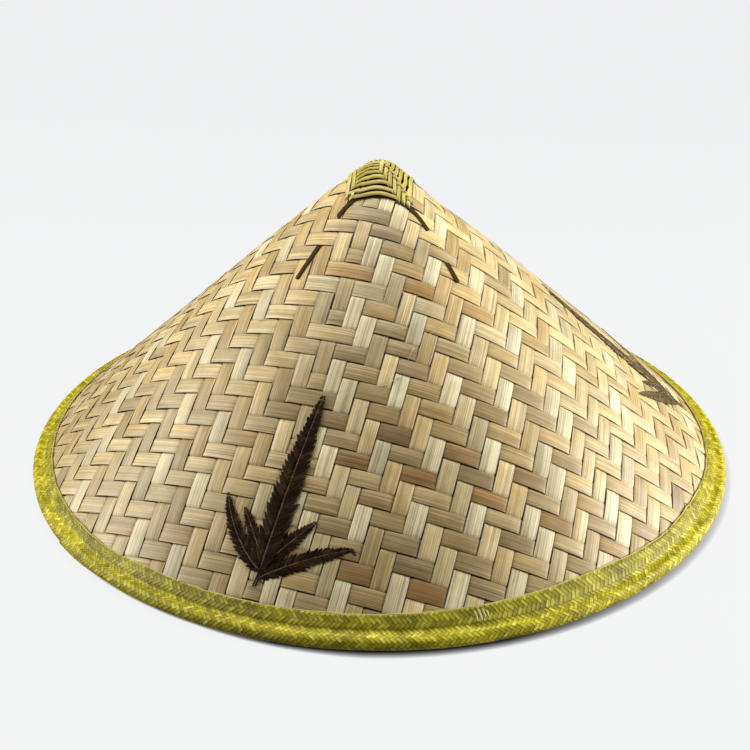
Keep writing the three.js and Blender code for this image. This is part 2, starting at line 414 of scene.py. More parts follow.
def floats(family, strip):
    """Runs of crossings on one side of the plait, as (start, end, side)."""
    crossed = crossings(family, strip)
    runs = []
    start = -SHEET_EDGE
    for here, after in zip(crossed, crossed[1:] + [(SHEET_EDGE, 0)]):
        if after[1] != here[1]:
            end = (here[0] + after[0]) / 2 if after[1] else SHEET_EDGE
            runs.append((start, end, here[1]))
            start = end
    return runs


print("floats on the tenth front strip:", len(floats(FRONT, 9)))

# %% [markdown]
# Bamboo strips differ in tone, by how near the skin of the stem they were split and how they dried.
# A chart with a letter for each strip says which is which. Each float gets a small shift of its own,
# painted lighter and darker: painted light and shade for the light that falls on it at its own angle,
# and wear where the next strip has rubbed it.

# %% Tones of the strips
TONES = {
    "p": paint(236, 219, 172),
    "l": paint(226, 203, 148),
    "t": paint(212, 184, 124),
    "g": paint(200, 176, 126),
    "y": paint(198, 168, 110),
    "b": paint(176, 144, 90),
    "o": paint(186, 147, 84),
    "w": paint(238, 225, 182),
}
TONE_CHART = {
    FRONT: "lttlggttoptlggtttbgolttggotgg",
    RIGHT: "gppllwttpllwltpplllwpt",
    LEFT: "lyttpytpllltt",
}
SPARE_TONES = "plltltgtlt"
# The front strips are browner and darker down the hat's front than at their ends
BROWNED_AZIMUTH = math.radians(7)
BROWNED_SPREAD = math.radians(36)
BROWNED_DEPTH = 0.3
BROWNED_CAST = (1.0, 0.95, 0.86)
PALE_END_SHARE = 0.65
PALE_END_LIGHT = 1.08


def strip_tone(family, strip, draw):
    """The tone of a strip from the chart, or a drawn one past its end."""
    chart = TONE_CHART[family]
    letter = chart[strip] if strip < len(chart) else draw.choice(SPARE_TONES)
    return TONES[letter]


print("tones of bamboo:", len(TONES))

# %% [markdown]
# Now each strip gets its stops. Its width comes from its neighbours' places, less a small gap. Four
# stops make a dive, and a float between two dives is bowed up a little, because the strips that it
# crosses push from below. Drawn numbers tilt, shade and narrow each float, so that no two are alike.
# The numbers come from a fixed seed, and so the hat is the same one every time.

# %% Lay every strip of one family
STRIP_GAP = (0.2, 0.5)
DRIFT, DRIFT_LENGTH = 0.12 * MM, 31 * MM
FLOAT_TILT_SPREAD = 0.013
SHORT_FLOAT, STOP_SPACING = 4 * MM, 5 * MM
DIVE_TURNS = (-1, -1 / 3, 1 / 3, 1)
SEED_STEP = 0.77


def strip_width(places, strip):
    """Where a strip starts and ends across, halfway to its neighbours on both sides."""
    place = places[strip]
    inner = (places[strip - 1] + place) / 2 if strip else 2 * place - (place + places[1]) / 2
    outer = (place + places[strip + 1]) / 2 if strip + 1 < len(places) else 2 * place - inner
    return inner, outer


def browned_tone(tone, shade, x, middle):
    """The tone of a front strip at x: paler at its ends, browner and darker down the front."""
    azimuth = RAY[FRONT] + math.atan2(x, middle) / DISC_SHARE
    browned = math.exp(-(((azimuth - BROWNED_AZIMUTH) / BROWNED_SPREAD) ** 2))
    colour = mixed(TONES["l"], tone, 1 - PALE_END_SHARE * (1 - browned))
    shade *= PALE_END_LIGHT - (PALE_END_LIGHT - 1 + BROWNED_DEPTH) * browned
    cast = mixed((1.0, 1.0, 1.0), BROWNED_CAST, browned)
    return tuple(c * shade * k for c, k in zip(colour, cast))


def strip_stops(family, strip, draw):
    """The stops of one strip, with its dives, tilts and tones."""
    inner, outer = strip_width(PLACES[family], strip)
    gap = draw.uniform(*STRIP_GAP) * MM
    half = (outer - inner - gap) / 2
    middle = (inner + outer) / 2
    tone = strip_tone(family, strip, draw)
    shift = draw.uniform(0, math.tau)
    stops = []

    def stop(x, side, depth, nature, bow=0.0):
        """One stop; nature is the float's own tilt, shade and fill."""
        tilt, shade, fill = nature
        if family == FRONT:
            colour = browned_tone(tone, shade, x, middle)
        else:
            colour = tuple(c * shade for c in tone[:3])
        drift = DRIFT * math.sin(x / DRIFT_LENGTH + shift)
        height = PLAIT_MIDDLE + side * FLOAT_RISE + bow
        stops.append(Stop(x, -(middle + drift), height, tilt, depth, (*colour, 1.0), half * fill))

    reach = math.sqrt(max(SHEET_EDGE**2 - max(inner, 0.0) ** 2, 0.0))
    previous = None
    for start, end, side in floats(family, strip):
        nature = (
            draw.gauss(FAMILY_TILT[family], FLOAT_TILT_SPREAD),
            draw.gauss(1.0, FLOAT_SHADE_SPREAD),
            draw.uniform(*FLOAT_FILL),
        )
        if end < -reach or start > reach:
            continue
        lying = (1 - side) / 2
        if previous is None:
            stop(max(start, -reach), side, lying, nature)
        else:
            for turn in DIVE_TURNS:
                level = math.sin(turn * math.pi / 2)
                blend = mixed(previous, nature, (turn + 1) / 2)
                stop(start + turn * DIVE, level * side, (1 - level * side) / 2, blend)
        first, last = max(start, -reach) + DIVE, min(end, reach) - DIVE
        if last - first > SHORT_FLOAT:
            count = max(1, round((last - first) / STOP_SPACING))
            for step in range(1, count + 1):
                share = step / (count + 1)
                bow = FLOAT_BOW * math.sin(math.pi * share) * max(side, 0)
                stop(first + (last - first) * share, side, lying, nature, bow)
        previous = nature
        if end > reach:
            stop(reach, side, lying, nature)
    ordered = sorted(stops, key=lambda one: one.x)
    return [one for one in ordered if -reach <= one.x <= reach]


def lay_family(family, seed):
    """Every strip of one family as a single piece."""
    draw = random.Random(seed)
    bm = new_ribbons()
    for strip in range(len(PLACES[family])):
        stops = strip_stops(family, strip, draw)
        lay_ribbon(bm, RAY[family], stops, STRIP_CAMBER, seed + strip * SEED_STEP, trim=SHEET_EDGE)
    return bm


print("stops on the tenth front strip:", len(strip_stops(FRONT, 9, random.Random(0))))

# %% [markdown]
# The strips' material. The tone of each strip comes with the mesh. Over it lie grains from fine
# fibres to broad streaks, a slow mottling, and painted shade: dark in the joint where a strip goes
# down between its neighbours, and along each strip's edges. Inside the hat the plait shows its other
# side, so there deep and high swap, and a face knows its side by whether it looks up or down. The
# painted shade is weaker on the right flank, where the low lamps rake over the plait. A thin coat
# stands for the lacquer on the floats.

# %% Bamboo material
WARM_PATCH = (1.03, 0.98, 0.88, 1)
PALE_PATCH = (1.0, 1.0, 1.04, 1)
# On the right flank, where the low lamps rake over the plait, the painted shade in the joints is
# weaker: from and to, as the sine of the azimuth
RIGHT_FLANK_FROM, RIGHT_FLANK_TO = 0.35, 0.95
RIGHT_FLANK_SHADE = 0.45


def seen_depth(tree):
    """How deep the plait lies at a point, from the side it is looked at: inside, the sides swap."""
    normal = tree.nodes.new("ShaderNodeNewGeometry").outputs["Normal"]
    up = add(tree, "ShaderNodeSeparateXYZ", {0: normal}).outputs[2]
    inside = calc(tree, "LESS_THAN", up, 0.0)
    return calc(tree, "ABSOLUTE", calc(tree, "SUBTRACT", inside, attribute(tree, "depth", "Fac")))


def joint_shade_strength(tree):
    """Strength of the painted joint shade: 1 on most of the hat, weaker on its right flank."""
    place = tree.nodes.new("ShaderNodeTexCoord").outputs["Object"]
    level = add(tree, "ShaderNodeVectorMath", {0: place, 1: (1, 1, 0)}, operation="MULTIPLY").outputs[0]
    aside = add(tree, "ShaderNodeVectorMath", {0: level}, operation="NORMALIZE").outputs[0]
    sine = add(tree, "ShaderNodeSeparateXYZ", {0: aside}).outputs[0]
    return ranged(tree, sine, RIGHT_FLANK_FROM, RIGHT_FLANK_TO, 1.0, RIGHT_FLANK_SHADE)


def bamboo_material():
    """Split, lacquered bamboo."""
    material, tree, shader = new_material("split_bamboo", 0.5, coat=0.2, coat_roughness=0.32)
    place = attribute(tree, "place", "Vector")
    fine = fibre_grain(tree, place, 14.0, 2500.0)
    streaks = fibre_grain(tree, place, 7.0, 1100.0)
    broad = fibre_grain(tree, place, 5.0, 280.0)
    patches = fibre_grain(tree, place, 70.0, 110.0)
    strength = joint_shade_strength(tree)
    # Painted shade: dark where the plait lies deep and along each strip's edges
    depth = calc(tree, "MULTIPLY", seen_depth(tree), strength)
    edge = calc(tree, "MULTIPLY", attribute(tree, "edge", "Fac"), strength)
    shade = product(tree, [
        ranged(tree, fine, 0, 1, 0.64, 1.24),
        ranged(tree, streaks, 0, 1, 0.7, 1.24),
        ranged(tree, broad, 0, 1, 0.86, 1.12),
        ranged(tree, patches, 0, 1, 0.84, 1.14),
        ranged(tree, depth, 0.3, 1.0, 1.0, 0.14),
        ranged(tree, edge, 0.2, 1.0, 1.0, 0.22),
    ])
    colour = dimmed(tree, attribute(tree, "tint", "Color"), shade)
    shift = blended(tree, patches, WARM_PATCH, PALE_PATCH)
    inputs = {0: colour, 1: shift}
    colour = add(tree, "ShaderNodeVectorMath", inputs, operation="MULTIPLY").outputs["Vector"]
    tree.links.new(colour, shader.inputs["Base Color"])
    tree.links.new(ranged(tree, fine, 0, 1, 0.42, 0.6), shader.inputs["Roughness"])
    raised(tree, shader, calc(tree, "ADD", fine, calc(tree, "MULTIPLY", streaks, 2.0)), 0.05 * MM)
    return material


BAMBOO = bamboo_material()
print("nodes in the bamboo material:", len(BAMBOO.node_tree.nodes))

# %% [markdown]
# The crown is woven as the real one is: each family is laid whole, and the dives of the three make
# them pass over and under each other without touching. Each family is one piece, and together they
# stand in for the plain cone of the frame.

# %% Weave the crown
for number, family in enumerate((FRONT, RIGHT, LEFT)):
    finish_piece(
        f"{family}_strips", lay_family(family, 11 + number), BAMBOO,
        ["crown"], STRIP_THICKNESS,
    )

# %% [markdown]
# The brim is bound with a flat plait of dyed straw, folded over the sheet's edge and rolled into a
# bead outside it. Its section is a closed line: a flange on the outside, a groove, the bead, and a
# flange inside. A grid is rolled up on that section and welded at its seam.

# %% Section of the binding
FLANGE_SLANT = 249.8 * MM
# Where the tape's inner edge runs, as degrees of azimuth and millimetres of slant; it wanders a little
FLANGE_EDGE = (
    (-180, 250), (-95, 250.1), (-70, 251.7), (-45, 251.6), (-38, 249.8), (0, 249.3), (10, 248.6),
    (20, 248), (30, 247), (38, 247.4), (50, 249.4), (60, 249), (75, 251), (110, 250), (180, 250),
)
INNER_FLANGE_SLANT = 248.5 * MM
SLOT_END_SLANT = 254.3 * MM
GROOVE_SLANT = 257.4 * MM
GROOVE_BANK = 2 * MM
FLANGE_BOTTOM = 0.3 * MM
BRAID_THICKNESS = 1.1 * MM
INNER_BOTTOM = -3.0 * MM
INNER_TOP = -1.9 * MM
BEAD_OPENING = math.radians(150)
LAP_AZIMUTH = math.radians(-57)
LAP_LENGTH = math.radians(14)
LAP_RISE = 0.9 * MM
# Darkness of the painted shadow along the lap's cut end
LAP_CUT_SHADOW = 0.85
FINE_STEP = 0.85 * MM
COARSE_STEP = 1.7 * MM
FLANGE_ROUND = 0.4 * MM
FLANGE_SWELL = 0.15 * MM
GROOVE_DEPTH = 0.55


def between(table, x):
    """The value at x on straight lines between the pairs of a table."""
    places = [place for place, _ in table]
    i = min(max(bisect.bisect_right(places, x) - 1, 0), len(places) - 2)
    (x0, y0), (x1, y1) = table[i], table[i + 1]
    return y0 + (y1 - y0) * (x - x0) / (x1 - x0)


def flange_edge(azimuth):
    """Slant of the tape's inner edge."""
    turn = (math.degrees(azimuth) + 180) % 360 - 180
    return between(FLANGE_EDGE, turn) * MM


def stretched(slant, edge):
    """Moves a slant on the flange, so that the flange ends at `edge` and its outer side stays."""
    outer = GROOVE_SLANT - GROOVE_BANK
    if slant > outer:
        return slant
    return outer - (outer - slant) * (outer - edge) / (outer - FLANGE_SLANT)


def spaced(points, step):
    """Points along straight lines between the given ones, about a step apart."""
    line = []
    for (s0, n0), (s1, n1) in zip(points, points[1:]):
        count = max(1, round(math.hypot(s1 - s0, n1 - n0) / step))
        line += [(s0 + (s1 - s0) * i / count, n0 + (n1 - n0) * i / count) for i in range(count)]
    return line


def binding_section(rise):
    """The binding's section as slant and height, closed, for a lap that thickens it by `rise`."""
    top = FLANGE_BOTTOM + BRAID_THICKNESS + rise
    flange = spaced([
        (FLANGE_SLANT, FLANGE_BOTTOM),
        (FLANGE_SLANT, top - FLANGE_ROUND),
        (FLANGE_SLANT + FLANGE_ROUND, top),
        (GROOVE_SLANT - GROOVE_BANK, top + FLANGE_SWELL),
        (GROOVE_SLANT, top - BRAID_THICKNESS * GROOVE_DEPTH),
    ], FINE_STEP)
    radius = BEAD_RADIUS + rise
    count = round(2 * BEAD_OPENING * BEAD_RADIUS / FINE_STEP)
    bead = []
    for i in range(count + 1):
        turn = BEAD_OPENING - 2 * BEAD_OPENING * i / count
        bead.append((BEAD_CENTRE_SLANT + radius * math.cos(turn), radius * math.sin(turn)))
    under = spaced([bead[-1], (INNER_FLANGE_SLANT, INNER_BOTTOM)], COARSE_STEP)[1:]
    slot = [
        (INNER_FLANGE_SLANT, INNER_BOTTOM),
        (INNER_FLANGE_SLANT, INNER_TOP),
        (SLOT_END_SLANT, INNER_TOP),
        (SLOT_END_SLANT, FLANGE_BOTTOM),
        (FLANGE_SLANT, FLANGE_BOTTOM),
    ]
    return flange + bead + under + slot


print("points in the binding's section:", len(binding_section(0.0)))

# %% [markdown]
# The plait itself is a herringbone: two sets of splints cross at right angles, both aslant to the
# tape, each over two and under two. Along the tape that shows as rows of slanted marks, leaning one
# way in one row and the other way in the next. The same rule is written twice: here in Python, to
# raise the mesh, and below in shader nodes, to draw edges finer than the mesh.

# %% Herringbone relief
SPLINT_WIDTH = 1.8 * MM
RELIEF = 0.34 * MM
WANDER = 0.75 * MM
WANDER_ACROSS = 0.6
WANDERS_IN_A_METRE = 110
# Without a seed of its own this noise starts from the clock, and the pull differs in each run
WANDER_SEED = 3
noise.seed_set(WANDER_SEED)
CROWN_SHARE, ARCH_SHARE = 0.55, 0.45


def wandered(along, across):
    """The plait is pulled unevenly, so a point of it wanders from its place on an even tape."""
    spot = Vector((along, across, 0.0)) * WANDERS_IN_A_METRE
    pull = noise.noise_vector(spot) * WANDER
    return along + pull.x, across + pull.y * WANDER_ACROSS


def herringbone(along, across):
    """Height of the plait from 0 in a joint to 1 on the middle of a splint's float."""
    first = (along + across) / (SPLINT_WIDTH * math.sqrt(2))
    second = (along - across) / (SPLINT_WIDTH * math.sqrt(2))
    i, j = math.floor(first), math.floor(second)
    if (i - j) % 4 in (0, 1):
        side = first - i
        run = (second - j + (1 if (i - j) % 4 == 0 else 0)) / 2
    else:
        side = second - j
        run = (first - i + (1 if (i - j) % 4 == 3 else 0)) / 2
    crown = 1 - (2 * side - 1) ** 2
    arch = 1 - (2 * run - 1) ** 2
    return CROWN_SHARE * crown + ARCH_SHARE * arch


print("relief on a float:", round(herringbone(1.1 * MM, 0.3 * MM), 2))

# %% [markdown]
# The tape goes once round the brim. Each column of a grid is one section of it, and the relief lifts
# its points along the section's own outward direction. A spin of the section would be simpler, but
# this tape isn't the same all round: its edge wanders, and its end lies over its start in a lap with a
# cut. A painted shadow runs along the cut, and painted shade darkens a small hole in the tape. The
# grid's seams are welded, and then the faces are turned outwards.

# %% Wrap the binding round the brim
BINDING_COLUMNS = 1500
HIDDEN_POINTS = 4
RELIEF_MIDDLE = 0.6
WAVE_HEIGHT, WAVE_OUT = 0.07 * MM, 0.6
TAPE_WIDTH = 26 * MM
LAP_CUT_CURVE = math.radians(2.4)
LAP_CUT_FADE = 0.2
# A small hole in the tape, painted dark with shade
HOLE_AZIMUTH, HOLE_SLANT, HOLE_RADIUS = math.radians(-43.7), 258.3 * MM, 1.1 * MM


def lap_rise(turned):
    """Extra thickness where the tape's end lies over its start, by the turn from the cut end."""
    share = min(max(turned / LAP_LENGTH, 0.0), 1.0)
    return LAP_RISE * (1 - share * share * (3 - 2 * share))


def cut_curve(turned, across):
    """How far the tape's cut end is bowed round the brim, fading away on both sides of the cut."""
    curve = LAP_CUT_CURVE * math.sin(math.pi * min(across / TAPE_WIDTH, 1.0))
    return curve * max(0.0, 1 - min(turned, math.tau - turned) / LAP_CUT_FADE)


def section_at(column):
    """Turn from the cut, section, and length along the section at each of its points."""
    turned = math.tau * min(column, BINDING_COLUMNS - 1) / (BINDING_COLUMNS - 1)
    section = binding_section(LAP_RISE if column == BINDING_COLUMNS else lap_rise(turned))
    lengths = [0.0]
    for (s0, n0), (s1, n1) in zip(section, section[1:]):
        lengths.append(lengths[-1] + math.hypot(s1 - s0, n1 - n0))
    return turned, section, lengths


def wrap_binding():
    """The binding as one closed tube with the plait's relief."""
    bm = bmesh.new()
    place = bm.verts.layers.float_vector.new("place")
    depth = bm.verts.layers.float.new("depth")
    hole_and_cut_shade = bm.verts.layers.float.new("hole_and_cut_shade")
    rows = len(binding_section(0.0)) - 1
    grid = bmesh.ops.create_grid(bm, x_segments=BINDING_COLUMNS, y_segments=rows, size=0.5)
    draw = random.Random(5)
    waves = [(draw.uniform(3, 30), draw.uniform(0, math.tau)) for _ in range(5)]
    sections = [section_at(column) for column in range(BINDING_COLUMNS + 1)]
    for vert in grid["verts"]:
        column = round((vert.co.x + 0.5) * BINDING_COLUMNS)
        row = rows - round((vert.co.y + 0.5) * rows)
        turned, section, lengths = sections[column]
        slant, height = section[row]
        before, after = section[max(row - 1, 0)], section[min(row + 1, rows)]
        out_s, out_n = before[1] - after[1], after[0] - before[0]
        size = math.hypot(out_s, out_n)
        out_s, out_n = out_s / size, out_n / size
        across = lengths[row]
        along, across_tape = wandered(turned * BEAD_CENTRE_SLANT * DISC_SHARE, across)
        shown = 1.0 if row < rows - HIDDEN_POINTS else 0.0
        lift = RELIEF * (herringbone(along, across_tape) - RELIEF_MIDDLE) * shown
        wave = sum(math.sin(turned * f + p) for f, p in waves) * WAVE_HEIGHT * shown
        azimuth = LAP_AZIMUTH + turned + cut_curve(turned, across)
        slant_out = stretched(slant, flange_edge(azimuth)) + out_s * lift + wave * WAVE_OUT
        vert.co = on_cone(azimuth, slant_out, height + out_n * lift)
        vert.co.z = max(vert.co.z, 0.0)
        vert[place] = (along, across_tape, 1.0)
        vert[depth] = 1.0 - shown
        # Painted shade in the small hole in the tape
        pit = math.hypot((azimuth - HOLE_AZIMUTH) * BRIM_RADIUS, slant - HOLE_SLANT) / HOLE_RADIUS
        vert[hole_and_cut_shade] = math.exp(-pit * pit) if height > 0 else 0.0
        # Painted shadow along the lap's cut end
        if column == BINDING_COLUMNS - 1 and slant > GROOVE_SLANT and height > -BEAD_RADIUS / 2:
            vert[hole_and_cut_shade] = LAP_CUT_SHADOW
    bmesh.ops.remove_doubles(bm, verts=bm.verts, dist=0.01 * MM)
    bmesh.ops.recalc_face_normals(bm, faces=bm.faces)
    return bm


print("rise of the lap at its cut end:", round(lap_rise(0.0) / MM, 2), "mm")

# %% [markdown]
# The joints between the splints are finer than the mesh, so they are drawn by nodes. The group below
# works out the same herringbone as the relief: which splint shows at a point, how far the point is
# from its edges, and a value drawn for that splint alone. A bitmap would blur close up.

# %% Herringbone pattern, a node group
JOINT_ARCH, JOINT_REACH = 1.6, 0.6


def herringbone_group():
    """Place on the tape and splint width in; height, joint and a value for each splint out."""
    group = bpy.data.node_groups.new("herringbone_plait", "ShaderNodeTree")
    group.interface.new_socket("Place", in_out="INPUT", socket_type="NodeSocketVector")
    group.interface.new_socket("Splint Width", in_out="INPUT", socket_type="NodeSocketFloat")
    for output in ("Height", "Joint", "Splint"):
        group.interface.new_socket(output, in_out="OUTPUT", socket_type="NodeSocketFloat")
    group.interface.new_socket("Strip Place", in_out="OUTPUT", socket_type="NodeSocketVector")
    entry = group.nodes.new("NodeGroupInput").outputs
    parts = add(group, "ShaderNodeSeparateXYZ", {0: entry["Place"]}).outputs
    step = calc(group, "MULTIPLY", entry["Splint Width"], math.sqrt(2))
    first = calc(group, "DIVIDE", calc(group, "ADD", parts[0], parts[1]), step)
    second = calc(group, "DIVIDE", calc(group, "SUBTRACT", parts[0], parts[1]), step)
    i, j = calc(group, "FLOOR", first), calc(group, "FLOOR", second)
    apart = calc(group, "SUBTRACT", i, j)
    phase = calc(group, "FLOORED_MODULO", calc(group, "ADD", apart, 0.5), 4.0)
    second_on_top = calc(group, "GREATER_THAN", phase, 2.0)
    side_first, side_second = calc(group, "FRACT", first), calc(group, "FRACT", second)

    def chosen(one, other):
        """The value of the splint on top."""
        inputs = {0: second_on_top, 2: one, 3: other}
        return add(group, "ShaderNodeMix", inputs).outputs[0]

    side = chosen(side_first, side_second)
    late_first = calc(group, "LESS_THAN", phase, 1.0)
    late_second = calc(group, "GREATER_THAN", phase, 3.0)
    run_first = calc(group, "MULTIPLY", calc(group, "ADD", side_second, late_first), 0.5)
    run_second = calc(group, "MULTIPLY", calc(group, "ADD", side_first, late_second), 0.5)
    run = chosen(run_first, run_second)

    def bowed(value):
        """0 at both ends and 1 in the middle."""
        centred = calc(group, "SUBTRACT", calc(group, "MULTIPLY", value, 2.0), 1.0)
        return calc(group, "SUBTRACT", 1.0, calc(group, "MULTIPLY", centred, centred))

    crown, arch = bowed(side), bowed(run)
    height = calc(group, "MULTIPLY", crown, CROWN_SHARE)
    height = calc(group, "ADD", height, calc(group, "MULTIPLY", arch, ARCH_SHARE))
    nearest = calc(group, "MINIMUM", crown, calc(group, "MULTIPLY", arch, JOINT_ARCH))
    joint = ranged(group, nearest, 0.0, JOINT_REACH, 1.0, 0.0)
    key = add(group, "ShaderNodeCombineXYZ", {0: chosen(i, j), 1: second_on_top}).outputs[0]
    drawn = add(group, "ShaderNodeTexWhiteNoise", {"Vector": key}, noise_dimensions="3D")
    length = calc(group, "MULTIPLY", chosen(second, first), step)
    width = calc(group, "MULTIPLY", side, step)
    on_splint = add(group, "ShaderNodeCombineXYZ", {0: length, 1: width, 2: chosen(i, j)}).outputs[0]
    add(group, "NodeGroupOutput", {
        "Height": height, "Joint": joint, "Splint": drawn.outputs["Value"], "Strip Place": on_splint,
    })
    return group


HERRINGBONE = herringbone_group()
print("node group:", HERRINGBONE.name)

# %% [markdown]
# Straw takes the dye unevenly: bright yellow green where a splint lies proud and rubs, deep olive in
# the joints, and pale where the dye has worn off. So the splint's own value picks its tone, slow
# patches dull whole stretches of the tape, and the joints are filled with the deep tone.

# %% Dyed straw material
STRAW_BRIGHT = paint(238, 224, 52)
STRAW_MIDDLE = paint(198, 182, 22)
STRAW_DEEP = paint(82, 68, 4)
STRAW_PALE = paint(246, 236, 130)
# Tone of the painted shade in the tape's hole and along the lap's cut
PAINTED_SHADE_TONE = paint(30, 26, 8)
FLANGE_WIDTH = 6.5 * MM
BEAD_START = 9.5 * MM
# Painted light: the tape is painted paler on the hat's left side, where the left lamp lights it: from
# and to, as metres to the right of its middle
PAINTED_LIGHT_LEFT = (-0.19, -0.1)


def straw_material():
    """Straw plait dyed yellow green; painted shade dulls its flange, painted light brightens its bead.
    """
    material, tree, shader = new_material("dyed_straw", 0.42, coat=0.06, coat_roughness=0.35)
    shader.inputs["Specular IOR Level"].default_value = 0.3
    place = attribute(tree, "place", "Vector")
    inputs = {"Place": place, "Splint Width": SPLINT_WIDTH}
    plait = add(tree, "ShaderNodeGroup", inputs, node_tree=HERRINGBONE)
    grain = fibre_grain(tree, plait.outputs["Strip Place"], 160.0, 2400.0)
    patches = fibre_grain(tree, place, 60.0, 130.0)
    bright = blended(tree, plait.outputs["Splint"], STRAW_MIDDLE, STRAW_BRIGHT)
    pale = ranged(tree, calc(tree, "MULTIPLY", plait.outputs["Splint"], grain), 0.45, 0.8, 0.0, 0.9)
    colour = blended(tree, pale, bright, STRAW_PALE)
    across = add(tree, "ShaderNodeSeparateXYZ", {0: place}).outputs[1]
    spot = tree.nodes.new("ShaderNodeTexCoord").outputs["Object"]
    aside = add(tree, "ShaderNodeSeparateXYZ", {0: spot}).outputs[0]
    shade = product(tree, [
        # painted light on the hat's left side
        ranged(tree, aside, *PAINTED_LIGHT_LEFT, 1.1, 1.0),
        ranged(tree, patches, 0, 1, 0.66, 1.12),
        ranged(tree, grain, 0, 1, 0.7, 1.16),
        # Mostly painted shade on the flange and painted light on the bead, a little deeper dye on the
        # flange
        ranged(tree, across, FLANGE_WIDTH, BEAD_START, 0.77, 1.08),
        ranged(tree, plait.outputs["Splint"], 0, 1, 0.82, 1.14),
    ])
    joint = product(tree, [plait.outputs["Joint"], ranged(tree, patches, 0, 1, 0.95, 0.3)])
    colour = blended(tree, joint, dimmed(tree, colour, shade), STRAW_DEEP)
    # Painted shade: the tape's hole and the shadow along the lap's cut
    colour = blended(tree, attribute(tree, "hole_and_cut_shade", "Fac"), colour, PAINTED_SHADE_TONE)
    tree.links.new(colour, shader.inputs["Base Color"])
    tree.links.new(ranged(tree, grain, 0, 1, 0.35, 0.6), shader.inputs["Roughness"])
    height = calc(tree, "ADD", plait.outputs["Height"], calc(tree, "MULTIPLY", grain, 0.2))
    raised(tree, shader, height, 0.3 * MM)
    return material


STRAW = straw_material()
finish_piece("straw_binding", wrap_binding(), STRAW, ["rim_binding"])

# %% [markdown]
# Cane and single straws share one recipe: the tone comes with the mesh, two grains run along it, and
# painted shade darkens it at its edges and where it dives under. Three looks are made from it below:
# the green cane of the cap, the dark cane of the lacing and the pale straws of the binding.

# %% Cane material
def cane_material(name, roughness, coat, grain_low, shadow, specular=0.5):
    """Split cane in the tone that the mesh brings; shadow is its darkness deep down and at edges."""
    material, tree, shader = new_material(name, roughness, coat=coat, coat_roughness=0.3)
    shader.inputs["Specular IOR Level"].default_value = specular
    place = attribute(tree, "place", "Vector")
    fine = fibre_grain(tree, place, 60.0, 2600.0)
    broad = fibre_grain(tree, place, 45.0, 420.0)
    shade = product(tree, [
        ranged(tree, fine, 0, 1, grain_low, 1.08),
        ranged(tree, broad, 0, 1, 0.76, 1.18),
        ranged(tree, attribute(tree, "depth", "Fac"), 0.3, 1.0, 1.0, shadow),
        ranged(tree, attribute(tree, "edge", "Fac"), 0.0, 1.0, 1.0, shadow),
    ])
    tree.links.new(dimmed(tree, attribute(tree, "tint", "Color"), shade), shader.inputs["Base Color"])
    gloss = ranged(tree, broad, 0, 1, roughness - 0.1, roughness + 0.12)
    tree.links.new(gloss, shader.inputs["Roughness"])
    raised(tree, shader, fine, 0.06 * MM)
    return material


print("cane recipe ready")

# %% [markdown]
# The tape has a finer edge: a single pale splint runs along it where the plait turns back, and shows
# as a light line over the strips. A second one lies low on the bead, from the tape's end onwards. Each
# is a thin cord that wavers a little, made from a grid that is rolled up and welded. Near the front a
# few bright splints cross the tape, where it was mended. They are ribbons, like the bamboo strips.

# %% Edge strands of the binding
STRAND_TONE = paint(222, 211, 118)
STRAND_RADIUS = 0.42 * MM
BEAD_STRAND_TURN = math.radians(-38)
BEAD_STRAND_RADIUS = 0.4 * MM
BEAD_STRAND_LENGTH = math.radians(130)
EDGE_STRAND_OUTSIDE, EDGE_STRAND_HEIGHT = 0.1 * MM, 0.75 * MM
STRAND_SIDES, STRAND_COLUMNS_A_DEGREE = 6, 1.5
TUCK_STEPS, TUCK_SLANT = 12, 0.3
Tuck = namedtuple("Tuck", "azimuth inner outer half")
TUCKS = (
    Tuck(13.7, 249.2, 256.6, 0.5), Tuck(14.3, 248.6, 256.9, 0.6), Tuck(14.9, 248.9, 256.2, 0.5),
    Tuck(15.4, 249.6, 255.6, 0.4),
)


def strand(name, start, end, centre, radius, waver, seed):
    """A thin cord from one azimuth to another; centre gives its slant and height at an azimuth."""
    columns = round(math.degrees(end - start) * STRAND_COLUMNS_A_DEGREE)
    draw = random.Random(seed)
    waves = [(draw.randint(9, 120), draw.uniform(0, math.tau)) for _ in range(6)]
    bm = new_ribbons()
    place = bm.verts.layers.float_vector["place"]
    tint = bm.verts.layers.float_color["tint"]
    grid = bmesh.ops.create_grid(bm, x_segments=columns, y_segments=STRAND_SIDES, size=0.5)
    for vert in grid["verts"]:
        azimuth = start + (vert.co.x + 0.5) * (end - start)
        turn = (vert.co.y + 0.5) * math.tau
        sway = sum(math.sin(azimuth * f + p) for f, p in waves) * waver / 3
        slant, height = centre(azimuth)
        vert[place] = (azimuth * BRIM_RADIUS, turn * radius, seed)
        vert[tint] = STRAND_TONE
        across, lift = radius * math.sin(turn), -radius * math.cos(turn)
        vert.co = on_cone(azimuth, slant + sway + across, height + lift)
        vert.co.z = max(vert.co.z, 0.0)
    bmesh.ops.remove_doubles(bm, verts=bm.verts, dist=0.01 * MM)
    bmesh.ops.recalc_face_normals(bm, faces=bm.faces)
    finish_piece(name, bm, STRAW_STRAND)


def along_the_edge(azimuth):
    """The pale strand at the tape's inner edge."""
    rise = lap_rise((azimuth - LAP_AZIMUTH) % math.tau)
    return flange_edge(azimuth) - EDGE_STRAND_OUTSIDE, EDGE_STRAND_HEIGHT + rise


def along_the_bead(azimuth):
    """The pale strand low on the bead."""
    radius = BEAD_RADIUS + lap_rise((azimuth - LAP_AZIMUTH) % math.tau)
    slant = BEAD_CENTRE_SLANT + radius * math.cos(BEAD_STRAND_TURN)
    return slant, radius * math.sin(BEAD_STRAND_TURN)


